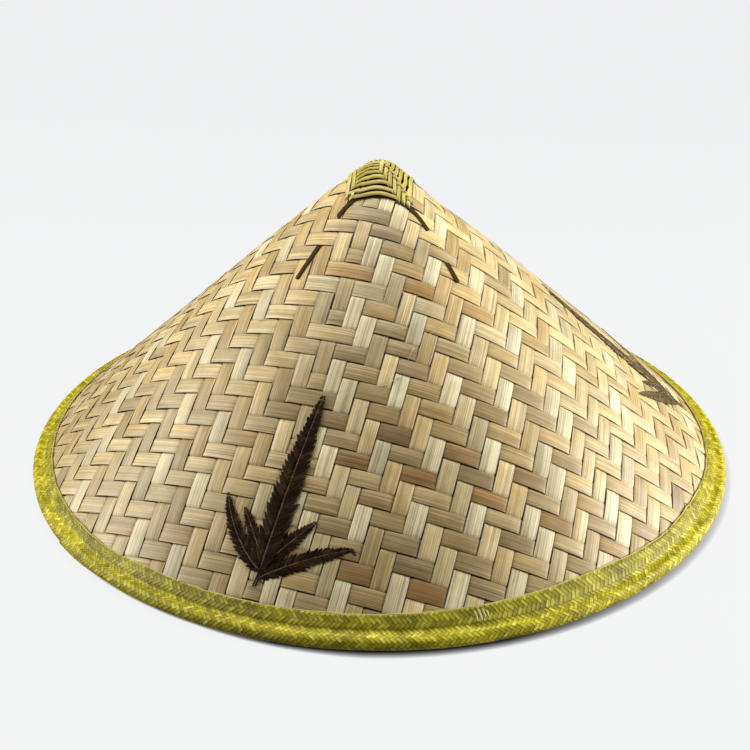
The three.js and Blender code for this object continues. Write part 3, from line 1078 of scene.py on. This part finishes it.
def tucked_strands():
    """A few bright splints that cross the flange where the tape was mended."""
    bm = new_ribbons()
    for number, tuck in enumerate(TUCKS):
        stops = []
        for i in range(TUCK_STEPS + 1):
            share = i / TUCK_STEPS
            slant = (tuck.inner + (tuck.outer - tuck.inner) * share) * MM
            x, y = flat_place(math.radians(tuck.azimuth + TUCK_SLANT * share), slant)
            lift = FLANGE_BOTTOM + BRAID_THICKNESS * (0.3 + 1.0 * math.sin(math.pi * share) ** 0.5)
            stops.append(Stop(x, y, lift, 0.0, 0.0, STRAND_TONE, tuck.half * MM))
        lay_ribbon(bm, 0.0, stops, 0.25 * MM, 40.0 + number, section=ROUND)
    return bm


STRAW_STRAND = cane_material("straw_strand", 0.42, 0.12, 0.72, 0.4)
strand("binding_edge_strand", -math.pi, math.pi, along_the_edge, STRAND_RADIUS, 0.2 * MM, 3)
strand(
    "bead_strand", LAP_AZIMUTH, LAP_AZIMUTH + BEAD_STRAND_LENGTH, along_the_bead,
    BEAD_STRAND_RADIUS, 0.15 * MM, 4,
)
finish_piece("tucked_strands", tucked_strands(), STRAW_STRAND, (), 0.25 * MM)

# %% [markdown]
# The tip is covered by a little cap of green cane: a square mat, woven flat and pressed over the tip,
# so from above its canes run straight and square. It has four sides. The middle of a side shows long
# plain rows. Where two sides meet, their canes interlace over two and under two, which draws a stair
# of steps down the corner, and then each cane tucks under. On the corner at the front's left the front
# rows run on as far as the two outer canes of that side. The distances of the canes are the hat's own.

# %% Canes of the cap
CAP_ROUNDING = 15 * MM
CAP_TURN = math.radians(-4)
CAP_SIDES = {
    "front": (25.5, 21.9, 18.2, 14.8, 11.5, 8.3, 5.1, 1.9),
    "right": (22.6, 19.0, 15.6, 12.4, 9.0, 5.5, 2.0),
    "back": (24.4, 21.6, 18.8, 15.4, 12.0, 8.6, 5.2, 1.6),
    "left": (21.3, 18.2, 14.8, 11.4, 8.0, 4.7, 1.4),
}
# The outer canes stop short of the corner at the front's left: how far they reach towards it
SHORT_ENDS = {("front", 0): 16.5, ("front", 1): 19.5, ("left", 0): 21, ("left", 1): 22.5}
STEPPED, PLAIN = "stepped", "plain"
CORNER_ON_THE_RIGHT = {"front": STEPPED, "right": STEPPED, "back": PLAIN, "left": PLAIN}
CAP_CANE_HALF = 1.14 * MM
CAP_CANE_CAMBER = 0.42 * MM
CAP_MIDDLE = 1.12 * MM
CAP_LEVEL = 0.42 * MM
CAP_REACH = 1.5 * MM
CAP_TUCK, DEEP = 2.6 * MM, -2
START_PULL = 0.02
CAP_STOP_SPACING = 0.75 * MM
CAP_WOBBLE, CAP_WOBBLE_LENGTH = 0.16 * MM, 2.9 * MM
CAP_THICKNESS = 0.5 * MM
CORNER_SHIFT, CORNER_SHIFT_SOFT = 0.9 * MM, 0.5 * MM
CORNER_SHIFT_AT = 0.62
# One more cane lies over the tip, from the front to the back
KNOB_FROM, KNOB_TO = -7 * MM, 5 * MM
KNOB_ASIDE = 1.2 * MM
KNOB_LIFT = 0.9 * MM
KNOB_STEPS = 24
CANE_TONES = (paint(212, 194, 84), paint(194, 170, 66), paint(226, 212, 120), paint(176, 152, 58))


def from_above(ray, x, y, height, rounding):
    """A point of a mat that keeps its plan: x and y are measured along the slope, seen from above."""
    return on_cone(ray + math.atan2(x, -y), math.hypot(x, y), height, rounding)


def corner_on_top(kind, own, other):
    """True where a side's cane lies over one of the side on its right hand; 0 is the outermost."""
    step = other - own
    if kind == STEPPED:
        return step >= 3 or step == -1
    return own <= 1 and step >= 2


print("canes in the cap:", sum(len(rows) for rows in CAP_SIDES.values()))

# %% [markdown]
# A cane of the cap is held at each crossing near its corners, over or under. Between two crossings its
# height is a soft mean of the two, so it waves as cane does, and at its ends it goes down deep.

# %% Stops of one cane
def cap_crossings(side, row):
    """Where a cane of a side is held, from left to right: its place along it and +1 over or -1 under."""
    names = list(CAP_SIDES)
    right = names[(names.index(side) + 1) % 4]
    left = names[names.index(side) - 1]
    found = []
    for other, place in enumerate(CAP_SIDES[right]):
        if row - 2 <= other <= row + 3:
            over = corner_on_top(CORNER_ON_THE_RIGHT[side], row, other)
            found.append((place * MM, 1 if over else -1))
    for other, place in enumerate(CAP_SIDES[left]):
        nearest = row - 2 if CORNER_ON_THE_RIGHT[left] == STEPPED else min(row - 1, 1)
        if nearest <= other <= row + 3:
            over = not corner_on_top(CORNER_ON_THE_RIGHT[left], other, row)
            found.append((-place * MM, 1 if over else -1))
    found.sort()
    first, last = found[0], found[-1]
    if first[1] == 1:
        found.insert(0, (first[0] - CAP_TUCK, DEEP))
    if last[1] == 1:
        found.append((last[0] + CAP_TUCK, DEEP))
    return found


def cap_stops(side, row, draw):
    """The stops of one cane of the cap."""
    held = cap_crossings(side, row)
    tone = mixed(draw.choice(CANE_TONES), draw.choice(CANE_TONES), 0.5)
    distance = CAP_SIDES[side][row] * MM
    start, end = held[0][0], held[-1][0]
    if (side, row) in SHORT_ENDS:
        limit = SHORT_ENDS[side, row] * MM
        start, end = (max(start, -limit), end) if side == "front" else (start, min(end, limit))
    count = max(8, round((end - start) / CAP_STOP_SPACING))
    shift = draw.uniform(0, math.tau)
    stops = []
    for i in range(count + 1):
        x = start + (end - start) * i / count
        pull, weight = START_PULL, START_PULL
        for place, level in held:
            near = math.exp(-((x - place) / CAP_REACH) ** 2)
            pull += level * near
            weight += near
        level = pull / weight
        wobble = CAP_WOBBLE * math.sin(x / CAP_WOBBLE_LENGTH + shift)
        past = (x + distance * CORNER_SHIFT_AT) / CORNER_SHIFT_SOFT
        stepped = CORNER_SHIFT / (1 + math.exp(past))
        y = -(distance + wobble - stepped)
        height = CAP_MIDDLE + level * CAP_LEVEL
        stops.append(Stop(x, y, height, 0.0, (1 - level) / 2, tone, CAP_CANE_HALF))
    return stops


print("stops on the front's outermost cane:", len(cap_stops("front", 0, random.Random(0))))

# %% [markdown]
# Besides the rows the cap has two small bends, where a cane turns back at a front corner, and one cane
# that lies over the tip from the front to the back.

# %% Bends and rows of the cap
BEND_HALF, BEND_CAMBER, BEND_DIP, BEND_STEPS = 0.85 * MM, 0.25 * MM, 0.9 * MM, 14
Bend = namedtuple("Bend", "x y radius start sweep tone seed")
BENDS = (
    Bend(-19.6, -22.6, 2.2, -100, 290, CANE_TONES[2], 61),
    Bend(20.3, -22.4, 2.5, 200, -230, CANE_TONES[0], 62),
)


def corner_loop(bm, bend):
    """The bend of a cane that turns back at a corner of the cap."""
    stops = []
    for i in range(BEND_STEPS + 1):
        turn = math.radians(bend.start + bend.sweep * i / BEND_STEPS)
        x = (bend.x + bend.radius * math.cos(turn)) * MM
        y = (bend.y + bend.radius * math.sin(turn)) * MM
        height = CAP_MIDDLE + CAP_LEVEL - BEND_DIP * abs(2 * i / BEND_STEPS - 1) ** 3
        stops.append(Stop(x, y, height, 0.0, 0.0, bend.tone, BEND_HALF))
    lay_ribbon(bm, CAP_TURN, stops, BEND_CAMBER, bend.seed, CAP_ROUNDING, section=ROUND, roll=from_above)


def weave_cap():
    """All the canes of the cap."""
    draw = random.Random(21)
    bm = new_ribbons()
    for number, side in enumerate(CAP_SIDES):
        ray = CAP_TURN + number * math.pi / 2
        for row in range(len(CAP_SIDES[side])):
            stops = cap_stops(side, row, draw)
            lay_ribbon(
                bm, ray, stops, CAP_CANE_CAMBER, number * 9 + row, CAP_ROUNDING,
                section=ROUND, roll=from_above,
            )
    for bend in BENDS:
        corner_loop(bm, bend)
    knob = []
    for i in range(KNOB_STEPS + 1):
        y = KNOB_FROM + (KNOB_TO - KNOB_FROM) * i / KNOB_STEPS
        height = CAP_MIDDLE + CAP_LEVEL + KNOB_LIFT * math.sin(math.pi * i / KNOB_STEPS)
        knob.append(Stop(KNOB_ASIDE, y, height, 0.0, 0.0, CANE_TONES[2], CAP_CANE_HALF))
    lay_ribbon(bm, CAP_TURN, knob, CAP_CANE_CAMBER, 63, CAP_ROUNDING, section=ROUND, roll=from_above)
    return bm


print("bends at the cap's corners:", len(BENDS))

# %% [markdown]
# Two looks of cane are made with the recipe above: a green, slightly glossy one for the cap and a dark,
# stained one for the lacing, which also carries the sheet of painted shade under the cap. Then the
# cap's canes are laid.

# %% Lay the cap's canes
GREEN_CANE = cane_material("green_cane", 0.42, 0.22, 0.74, 0.16)
DARK_CANE = cane_material("dark_cane", 0.6, 0.02, 0.6, 0.4, specular=0.1)
finish_piece("cap_canes", weave_cap(), GREEN_CANE, ["tip_cap"], CAP_THICKNESS)

# %% [markdown]
# Between the canes the cap is nearly black, in deep shade, and that shade is painted on a sheet under
# the canes: a square sheet with rounded corners, pressed over the tip in the same way.

# %% Sheet of painted shade under the cap
UNDERLAY_HEIGHT = 0.42 * MM
# Tone of the painted shade between the cap's canes
CAP_SHADE_TONE = paint(26, 22, 8)
UNDERLAY_CELLS = 24
UNDERLAY_EDGE = 1.2 * MM
UNDERLAY_CORNER = 0.42


def cap_shade_sheet():
    """A thin sheet of painted shade just under the canes."""
    bm = new_ribbons()
    tint = bm.verts.layers.float_color["tint"]
    reach = {side: rows[0] * MM + UNDERLAY_EDGE for side, rows in CAP_SIDES.items()}
    grid = bmesh.ops.create_grid(bm, x_segments=UNDERLAY_CELLS, y_segments=UNDERLAY_CELLS, size=1.0)
    for vert in grid["verts"]:
        u, v = vert.co.x, vert.co.y
        rounder = 1 - UNDERLAY_CORNER * 0.5 * u * u * v * v
        x = u * rounder * reach["right" if u > 0 else "left"]
        y = v * rounder * reach["back" if v > 0 else "front"]
        vert[tint] = CAP_SHADE_TONE
        vert.co = from_above(CAP_TURN, x, y, UNDERLAY_HEIGHT, CAP_ROUNDING)
    return bm


finish_piece("cap_shade_sheet", cap_shade_sheet(), DARK_CANE, (), 0.3 * MM)

# %% [markdown]
# Two dark split canes lace the tip to the plait. Each comes up one corner of the cap, runs under the
# cap's lower edge and goes down at the next corner. Lower down each leg slips under the plait and out
# again, which is what holds it. The route is a smooth line through a few named places.

# %% Lacing canes
LACE_HALF = 1.25 * MM
LACE_THICKNESS = 0.42 * MM
LACE_TOP = 0.22 * MM
LACE_UNDER = -0.85 * MM
LACE_TONE = paint(74, 54, 20)
LACE_ROUTE = [
    (-43.5, 88), (-43.5, 74), (-43, 62), (-42.8, 52), (-42.8, 42), (-41.2, 36.6), (-38.2, 32),
    (-31, 29), (-17, 27), (0, 26.4), (16, 27.6), (28, 31), (35.4, 35.4), (40.6, 41),
    (42.4, 51), (41.6, 62), (40.8, 74), (40.2, 88),
]
LEFT_LEG_HIDDEN = (43, 61)
RIGHT_LEG_HIDDEN = (51, 71)
LEG_END, SHEET_BELOW = 84, 200
LACE_SLIP, LACE_STEPS = 2.5, 150
LACE_BACK_TURN, LACE_BACK_SPREAD = 180, 1.26


def smooth_line(points, count):
    """A Catmull-Rom line through points, as count + 1 places."""
    spans = len(points) - 1
    line = []
    for i in range(count + 1):
        where = min(i / count * spans, spans - 1e-6)
        k = int(where)
        t = where - k
        near = [points[min(max(k + step, 0), spans)] for step in (-1, 0, 1, 2)]
        spot = []
        for a, b, c, d in zip(*near):
            square, cube = 2 * a - 5 * b + 4 * c - d, 3 * b - a - 3 * c + d
            spot.append(0.5 * (2 * b + (c - a) * t + square * t**2 + cube * t**3))
        line.append(tuple(spot))
    return line


def lace_height(azimuth, slant):
    """Over the plait, or under it where a leg is hidden."""
    low, high = LEFT_LEG_HIDDEN if azimuth < 0 else RIGHT_LEG_HIDDEN
    hidden = 0.0
    for start, end in ((low, high), (LEG_END, SHEET_BELOW)):
        rising = min(max((slant - start) / LACE_SLIP + 0.5, 0.0), 1.0)
        falling = min(max((end - slant) / LACE_SLIP + 0.5, 0.0), 1.0)
        hidden = max(hidden, min(rising, falling))
    hidden = hidden * hidden * (3 - 2 * hidden)
    return LACE_TOP + (LACE_UNDER - LACE_TOP) * hidden


def lacing_cane(turn, spread, seed):
    """One lacing cane, turned about the tip, with its legs spread by a share."""
    bm = new_ribbons()
    stops = []
    for azimuth, slant in smooth_line(LACE_ROUTE, LACE_STEPS):
        x, y = flat_place(math.radians(azimuth * spread), slant * MM)
        height = lace_height(azimuth, slant)
        stops.append(Stop(x, y, height, 0.0, 0.0, LACE_TONE, LACE_HALF))
    lay_ribbon(bm, math.radians(turn), stops, 0.12 * MM, seed)
    return bm


for name, turn, spread in (("front", 0, 1), ("back", LACE_BACK_TURN, LACE_BACK_SPREAD)):
    finish_piece(
        f"lacing_{name}", lacing_cane(turn, spread, 70 + turn), DARK_CANE,
        [f"lacing_cane_{name}"], LACE_THICKNESS,
    )

# %% [markdown]
# The ferns are real fronds, pressed flat and lacquered on. A leaflet is not one blade but a midrib
# with many small lobes side by side, and their tips make its toothed edge. So each lobe is a small
# grid of its own, aslant to the midrib, and a little overlap hides where one ends and the next begins.

# %% Pressed ferns
FERN_HEIGHT = 0.12 * MM
FERN_THICKNESS = 0.16 * MM
LOBE_LEAN = math.radians(52)
LOBE_COLUMNS = 5
LOBE_SHAPE = (1.0, 1.02, 0.99, 0.88, 0.64, 0.2)
LOBE = Section((-1.0, -0.7, 0.0, 0.7, 1.0), (1.0, 0.4, 0.0, 0.4, 1.0))
MIDRIB_HALF = 0.3 * MM
STEM_HALF = 0.36 * MM
LEAFLET_PROFILE = (
    (0, 0.55), (0.12, 0.9), (0.28, 1.0), (0.42, 0.88), (0.64, 0.72), (0.84, 0.42), (1, 0.08),
)
Leaflet = namedtuple("Leaflet", "base tip width bow pitch")
FRONT_FERN = (
    math.radians(-20), (((4.3, -230), (2.6, -242)), ((4.6, -233), (3.9, -241.4))),
    (
        Leaflet((3.9, -233), (9.5, -141.6), 15.5, 0.8, 3.0),
        Leaflet((3.5, -234), (-24.5, -199.2), 9, 3.3, 2.1),
        Leaflet((3.4, -228), (-13.4, -205), 7, 0, 2.1),
        Leaflet((4.6, -230.5), (24, -204.8), 8.6, 0, 2.1),
        Leaflet((4.6, -237), (45.2, -213.6), 9.8, 1.4, 2.1),
        Leaflet((43.6, -214.2), (46.4, -216.4), 1.6, 0.6, 1.2),
    ),
)
RIGHT_FERN = (
    math.radians(100), (((-22, -227), (-25.2, -238)), ((-21.6, -229), (-24, -238.4))),
    (
        Leaflet((-22, -230), (-7, -121.5), 13, 3.5, 3.0),
        Leaflet((-23.5, -232), (-55, -189), 9.6, 0.8, 2.1),
        Leaflet((-23, -227.5), (-36.6, -197.8), 7, -2.3, 2.1),
        Leaflet((-21.8, -228), (-6, -198), 7, 2, 2.1),
        Leaflet((-21.5, -232), (20, -187), 8.6, 2.5, 2.1),
    ),
)
DARK_LEAF = (paint(45, 30, 11), paint(34, 22, 8), paint(60, 43, 19))
# The right fern: its tones carry a painted sheen of lacquer in raking light
SHEEN_PAINTED_LEAF = (paint(110, 95, 66), paint(96, 82, 56), paint(124, 108, 76))
RIB_TONE = paint(112, 90, 64)
print("leaflets:", len(FRONT_FERN[2]), "in front and", len(RIGHT_FERN[2]), "on the right")

# %% [markdown]
# A leaflet is laid from its base to its tip. At each step two lobes go out to the left and the right,
# lean forward by half a right angle or so, and get a tone, a lean and a reach of their own. The midrib
# goes on last, over the lobes' inner ends.

# %% Lay a leaflet
LEAN_SPREAD = (0.88, 1.06)
REACH_SPREAD = (0.9, 1.12)
HALF_SPREAD = (0.46, 0.54)
FORWARD_CURL = 0.12
LOBE_TILT = 0.07
LAYER_HEIGHT = 0.14 * MM
RIB_HEIGHT, RIB_STEPS = 0.16 * MM, 24
STEM_HEIGHT, STEM_STEPS = 0.35 * MM, 8


def midrib(leaflet):
    """The bowed midrib of a leaflet as a function of the share of its length, in metres."""
    base, tip = Vector(leaflet.base) * MM, Vector(leaflet.tip) * MM
    chord = tip - base
    left = Vector((-chord.y, chord.x)).normalized()
    bend = base.lerp(tip, 0.5) + left * 2 * leaflet.bow * MM
    return lambda t: base * (1 - t) ** 2 + bend * 2 * t * (1 - t) + tip * t * t, chord.length


def lay_leaflet(bm, ray, leaflet, layer, tones, draw):
    """The lobes and the midrib of one leaflet."""
    line, length = midrib(leaflet)
    pitch = leaflet.pitch * MM
    count = round(length / pitch)
    height = FERN_HEIGHT + layer * LAYER_HEIGHT
    for i in range(count):
        along = (i + 0.5) / count
        centre = line(along)
        ahead = (line(min(along + 0.01, 1.0)) - line(max(along - 0.01, 0.0))).normalized()
        half = between(LEAFLET_PROFILE, along) * leaflet.width * MM / 2
        for side in (-1, 1):
            lean = LOBE_LEAN * draw.uniform(*LEAN_SPREAD) * side
            out = Vector((
                ahead.x * math.cos(lean) - ahead.y * math.sin(lean),
                ahead.x * math.sin(lean) + ahead.y * math.cos(lean),
            ))
            reach = half / math.sin(LOBE_LEAN) * draw.uniform(*REACH_SPREAD)
            stops = []
            tone = draw.choice(tones)
            for step in range(LOBE_COLUMNS + 1):
                share = step / LOBE_COLUMNS
                spot = centre + out * reach * share
                spot += ahead * reach * FORWARD_CURL * share * share
                wide = LOBE_SHAPE[step] * pitch * draw.uniform(*HALF_SPREAD)
                lift = height + 0.05 * MM * draw.random()
                stops.append(Stop(spot.x, spot.y, lift, LOBE_TILT * side, share, tone, wide))
            lay_ribbon(bm, ray, stops, 0.12 * MM, draw.uniform(0, 90), section=LOBE)
    rib = []
    for i in range(RIB_STEPS + 1):
        spot = line(i / RIB_STEPS)
        half = MIDRIB_HALF * (1 - 0.7 * i / RIB_STEPS)
        rib.append(Stop(spot.x, spot.y, height + RIB_HEIGHT, 0.0, 0.0, RIB_TONE, half))
    lay_ribbon(bm, ray, rib, 0.08 * MM, 5.0)


def pressed_fern(fern, tones, seed):
    """A whole frond: its leaflets, side ones first, and the two strands of its stem."""
    ray, stems, leaflets = fern
    draw = random.Random(seed)
    bm = new_ribbons()
    for layer, leaflet in enumerate(reversed(leaflets)):
        lay_leaflet(bm, ray, leaflet, layer, tones, draw)
    for stem in stems:
        top, foot = (Vector(end) * MM for end in stem)
        stops = []
        for i in range(STEM_STEPS + 1):
            spot = top.lerp(foot, i / STEM_STEPS)
            height = FERN_HEIGHT + STEM_HEIGHT
            stops.append(Stop(spot.x, spot.y, height, 0.0, 0.0, tones[0], STEM_HALF))
        lay_ribbon(bm, ray, stops, 0.1 * MM, 7.0)
    return bm


longest = FRONT_FERN[2][0]
print("lobes on each side of the longest leaflet:", round(midrib(longest)[1] / (longest.pitch * MM)))

# %% [markdown]
# The leaves dried dark brown, with fine veins and paler edges, where the lacquer lifted from them. The
# right fern's paler tones are a painted sheen of its lacquer in the raking light. One material serves
# both, because the tones come with the meshes.

# %% Dried leaf material
def leaf_material():
    """Dark dried leaf under lacquer, with fine veins."""
    material, tree, shader = new_material("dried_leaf", 0.6)
    shader.inputs["Specular IOR Level"].default_value = 0.06
    place = attribute(tree, "place", "Vector")
    veins = fibre_grain(tree, place, 300.0, 2400.0)
    blotches = fibre_grain(tree, place, 500.0, 500.0)
    shade = product(tree, [
        ranged(tree, veins, 0.2, 1, 0.42, 1.75),
        ranged(tree, blotches, 0, 1, 0.6, 1.5),
        ranged(tree, attribute(tree, "edge", "Fac"), 0.3, 1.0, 0.85, 3.2),
    ])
    tree.links.new(dimmed(tree, attribute(tree, "tint", "Color"), shade), shader.inputs["Base Color"])
    tree.links.new(ranged(tree, blotches, 0, 1, 0.45, 0.75), shader.inputs["Roughness"])
    raised(tree, shader, veins, 0.12 * MM)
    return material


DRIED_LEAF = leaf_material()
FERNS = (("front", FRONT_FERN, DARK_LEAF, 31), ("right", RIGHT_FERN, SHEEN_PAINTED_LEAF, 32))
for name, fern, tones, seed in FERNS:
    finish_piece(
        f"pressed_fern_{name}", pressed_fern(fern, tones, seed), DRIED_LEAF,
        [f"fern_{name}"], FERN_THICKNESS,
    )

# %% [markdown]
# A few fibres have split off the strips and lie across the plait. They are so thin that only their
# pale line shows. Each is a narrow ribbon between two places on the cone, a little bowed.

# %% Loose splinters
Splinter = namedtuple("Splinter", "start end bow half")
SPLINTERS = (
    Splinter((24.5, 104.1), (17.1, 108.7), 0.5, 0.2),
    Splinter((11.6, 115.0), (9.0, 121.8), -0.3, 0.16),
    Splinter((6.1, 129.7), (-0.7, 134.8), 0.9, 0.24),
    Splinter((-48.3, 112.5), (-44.6, 109.2), 0.2, 0.18),
)
SPLINTER_TONE = paint(236, 214, 158)
SPLINTER_HEIGHT, SPLINTER_RISE, SPLINTER_STEPS = 0.1 * MM, 0.4 * MM, 12


def loose_splinters():
    """All the loose fibres as one piece."""
    bm = new_ribbons()
    for number, splinter in enumerate(SPLINTERS):
        start = Vector(flat_place(math.radians(splinter.start[0]), splinter.start[1] * MM))
        end = Vector(flat_place(math.radians(splinter.end[0]), splinter.end[1] * MM))
        left = Vector((start.y - end.y, end.x - start.x)).normalized()
        stops = []
        for i in range(SPLINTER_STEPS + 1):
            share = i / SPLINTER_STEPS
            spot = start.lerp(end, share) + left * splinter.bow * MM * 4 * share * (1 - share)
            lift = SPLINTER_HEIGHT + SPLINTER_RISE * math.sin(math.pi * share)
            half = splinter.half * MM * (1 - 0.5 * share)
            stops.append(Stop(spot.x, spot.y, lift, 0.0, 0.0, SPLINTER_TONE, half))
        lay_ribbon(bm, 0.0, stops, 0.0, 90.0 + number)
    return bm


finish_piece("loose_splinters", loose_splinters(), BAMBOO, (), 0.12 * MM)

# %% [markdown]
# The camera stands where the photograph's did: 0.79 metres away and 29 degrees above the floor.
# Its place and its three axes are named, so that the view can be checked against the hat's size.

# %% Camera
CAMERA_PLACE = Vector((0, -0.68939, 0.38988))
LOOK = Vector((-0.00331224, 0.89320971, -0.44962811))
LEVEL = Vector((0.99998457, 0.0049638, 0.00249433))
FOCAL_LENGTH = 63.87
SENSOR_WIDTH = 36


def aimed(place, forward, level):
    """A world matrix for something that looks along `forward`, with `level` on its right."""
    up = level.cross(forward)
    rows = zip(level.normalized(), up.normalized(), -forward.normalized(), place)
    return [list(row) for row in rows] + [[0, 0, 0, 1]]


camera = bpy.data.objects.new("camera", bpy.data.cameras.new("camera"))
bpy.context.scene.collection.objects.link(camera)
camera.matrix_world = Matrix(aimed(CAMERA_PLACE, LOOK, LEVEL))
camera.data.lens = FOCAL_LENGTH
camera.data.sensor_width = SENSOR_WIDTH
camera.data.clip_start = 0.05
bpy.context.scene.camera = camera
print("camera stands", round(CAMERA_PLACE.length, 3), "m from the hat's middle")

# %% [markdown]
# A product photograph on white: the floor and the backdrop are brighter than anything that lights the
# hat from the front. So the camera sees them nearly white, while the other rays meet a dimmer floor
# and a dark room. A Light Path node tells the two kinds of rays apart. The hat's shading then comes
# from the lamps alone, and the pale floor still lights the brim from below. So bright a floor takes no
# shadow, and its narrow shade along the brim is drawn by its distance from the hat's middle. From
# below the floor is clear, so that the inside of the hat can be looked at.

# %% Floor and backdrop
FLOOR_SIZE = 12
FLOOR_GREY = 0.05
FLOOR_LIGHT = 0.13
LIGHT_UNDER_THE_HAT = 0.5
FLOOR_SEEN = 0.865
BACKDROP_SEEN = 0.89
COOL_WHITE = (0.985, 0.99, 1.0, 1)
# The shade at the brim, from its edge outwards: deepest in front and short on the left
SHADE_START = 198 * MM
SHADE_TURN = (math.radians(-26), math.radians(-2))
SHADE_REACH = (1.4 * MM, 6 * MM)
RIGHT_PALER = (math.radians(18), math.radians(75))
LEFT_PALER = (math.radians(-14), math.radians(-40))
BACK_TURN = (math.radians(100), math.radians(170))
SHADE_FALL = 2.2
RIGHT_PALENESS, LEFT_PALENESS = 0.7, 0.5


def seen_or_not(tree, seen, unseen):
    """One value for rays from the camera and another for the rest."""
    path = tree.nodes.new("ShaderNodeLightPath")
    return ranged(tree, path.outputs["Is Camera Ray"], 0.0, 1.0, unseen, seen)


def brim_shade(tree):
    """Light on the floor, from 1 in the open to 0 under the hat; and 1 outside the hat, else 0."""
    place = tree.nodes.new("ShaderNodeTexCoord").outputs["Object"]
    parts = add(tree, "ShaderNodeSeparateXYZ", {0: place}).outputs
    x, y = parts[0], parts[1]
    squares = calc(tree, "ADD", calc(tree, "MULTIPLY", x, x), calc(tree, "MULTIPLY", y, y))
    radius = calc(tree, "SQRT", squares)
    turn = calc(tree, "ARCTAN2", x, calc(tree, "MULTIPLY", y, -1.0))
    # At the back the right side's wide shade goes over into the left side's narrow one
    front_reach = ranged(tree, turn, *SHADE_TURN, *SHADE_REACH)
    back_reach = ranged(tree, turn, *BACK_TURN, *reversed(SHADE_REACH))
    reach = calc(tree, "MINIMUM", front_reach, back_reach)
    share = calc(tree, "DIVIDE", calc(tree, "SUBTRACT", radius, SHADE_START), reach)
    share = ranged(tree, share, 0.0, 1.0, 0.0, 1.0)
    paler_right = ranged(tree, turn, *RIGHT_PALER, 0.0, RIGHT_PALENESS)
    paler_left = ranged(tree, turn, *LEFT_PALER, 0.0, LEFT_PALENESS)
    paler = calc(tree, "MAXIMUM", paler_right, paler_left)
    paler_back = ranged(tree, turn, *BACK_TURN, RIGHT_PALENESS, LEFT_PALENESS)
    paler = calc(tree, "MINIMUM", paler, paler_back)
    outside = calc(tree, "GREATER_THAN", radius, BRIM_RADIUS - BEAD_RADIUS)
    shade = ranged(tree, calc(tree, "POWER", share, SHADE_FALL), 0.0, 1.0, paler, 1.0)
    return calc(tree, "MULTIPLY", shade, outside), outside


print("shade starts", round(SHADE_START / MM), "mm from the hat's middle")

# %% [markdown]
# The floor is one flat square, and the backdrop is the world itself, in the same cool white.

# %% Lay the floor
def floor():
    """A wide pale floor, shaded where the brim stands on it."""
    bm = bmesh.new()
    bmesh.ops.create_grid(bm, x_segments=1, y_segments=1, size=FLOOR_SIZE / 2)
    mesh = bpy.data.meshes.new("floor")
    bm.to_mesh(mesh)
    bm.free()
    material, tree, shader = new_material("pale_floor", 0.9)
    shader.inputs["Base Color"].default_value = (FLOOR_GREY, FLOOR_GREY, FLOOR_GREY, 1)
    shader.inputs["Specular IOR Level"].default_value = 0.0
    shader.inputs["Emission Color"].default_value = COOL_WHITE
    shade, outside = brim_shade(tree)
    light = ranged(tree, outside, 0.0, 1.0, LIGHT_UNDER_THE_HAT, FLOOR_LIGHT)
    glow = seen_or_not(tree, calc(tree, "MULTIPLY", shade, FLOOR_SEEN), light)
    tree.links.new(glow, shader.inputs["Emission Strength"])
    from_below = tree.nodes.new("ShaderNodeNewGeometry").outputs["Backfacing"]
    tree.links.new(calc(tree, "SUBTRACT", 1.0, from_below), shader.inputs["Alpha"])
    mesh.materials.append(material)
    made = bpy.data.objects.new("floor", mesh)
    bpy.context.scene.collection.objects.link(made)


def backdrop():
    """The world: a pale backdrop for the camera and a dark room for the hat."""
    world = bpy.data.worlds.new("studio")
    bpy.context.scene.world = world
    world.use_nodes = True
    background = world.node_tree.nodes["Background"]
    background.inputs["Color"].default_value = COOL_WHITE
    world.node_tree.links.new(
        seen_or_not(world.node_tree, BACKDROP_SEEN, 0.0), background.inputs["Strength"]
    )


floor()
backdrop()
print("floor", FLOOR_SIZE, "m wide, backdrop seen at", BACKDROP_SEEN)

# %% [markdown]
# The hat is lit from both sides, because the photograph is bright on both flanks of the cone and dark
# down its front. The right has two low lamps, which rake over the weave and draw its relief. The left
# has one broad lamp higher up, so that side is softer. A small lamp over the tip lights the upper rows
# and the cap. No lamp stands in front.

# %% Lamps
LAMP_TARGET = Vector((0, 0, 0.08))
Lamp = namedtuple("Lamp", "name place size power")
LAMPS = (
    Lamp("left_high", (-0.9, 0, 0.45), 0.6, 7.9),
    Lamp("right_low", (0.8, 0, 0.22), 0.4, 5.9),
    Lamp("right_front", (0.7, -0.35, 0.22), 0.4, 2.35),
    Lamp("over_the_tip", (0, 0.05, 0.44), 0.25, 1.15),
)


def soft_light(lamp):
    """A square soft lamp that faces the hat and isn't seen itself."""
    light = bpy.data.lights.new(lamp.name, "AREA")
    light.shape = "SQUARE"
    light.size = lamp.size
    light.energy = lamp.power
    made = bpy.data.objects.new(lamp.name, light)
    bpy.context.scene.collection.objects.link(made)
    made.location = lamp.place
    made.rotation_euler = (LAMP_TARGET - Vector(lamp.place)).to_track_quat("-Z", "Y").to_euler()
    made.visible_camera = False


for lamp in LAMPS:
    soft_light(lamp)
bpy.context.scene.view_settings.view_transform = "Standard"
print("lamps:", [lamp.name for lamp in LAMPS])
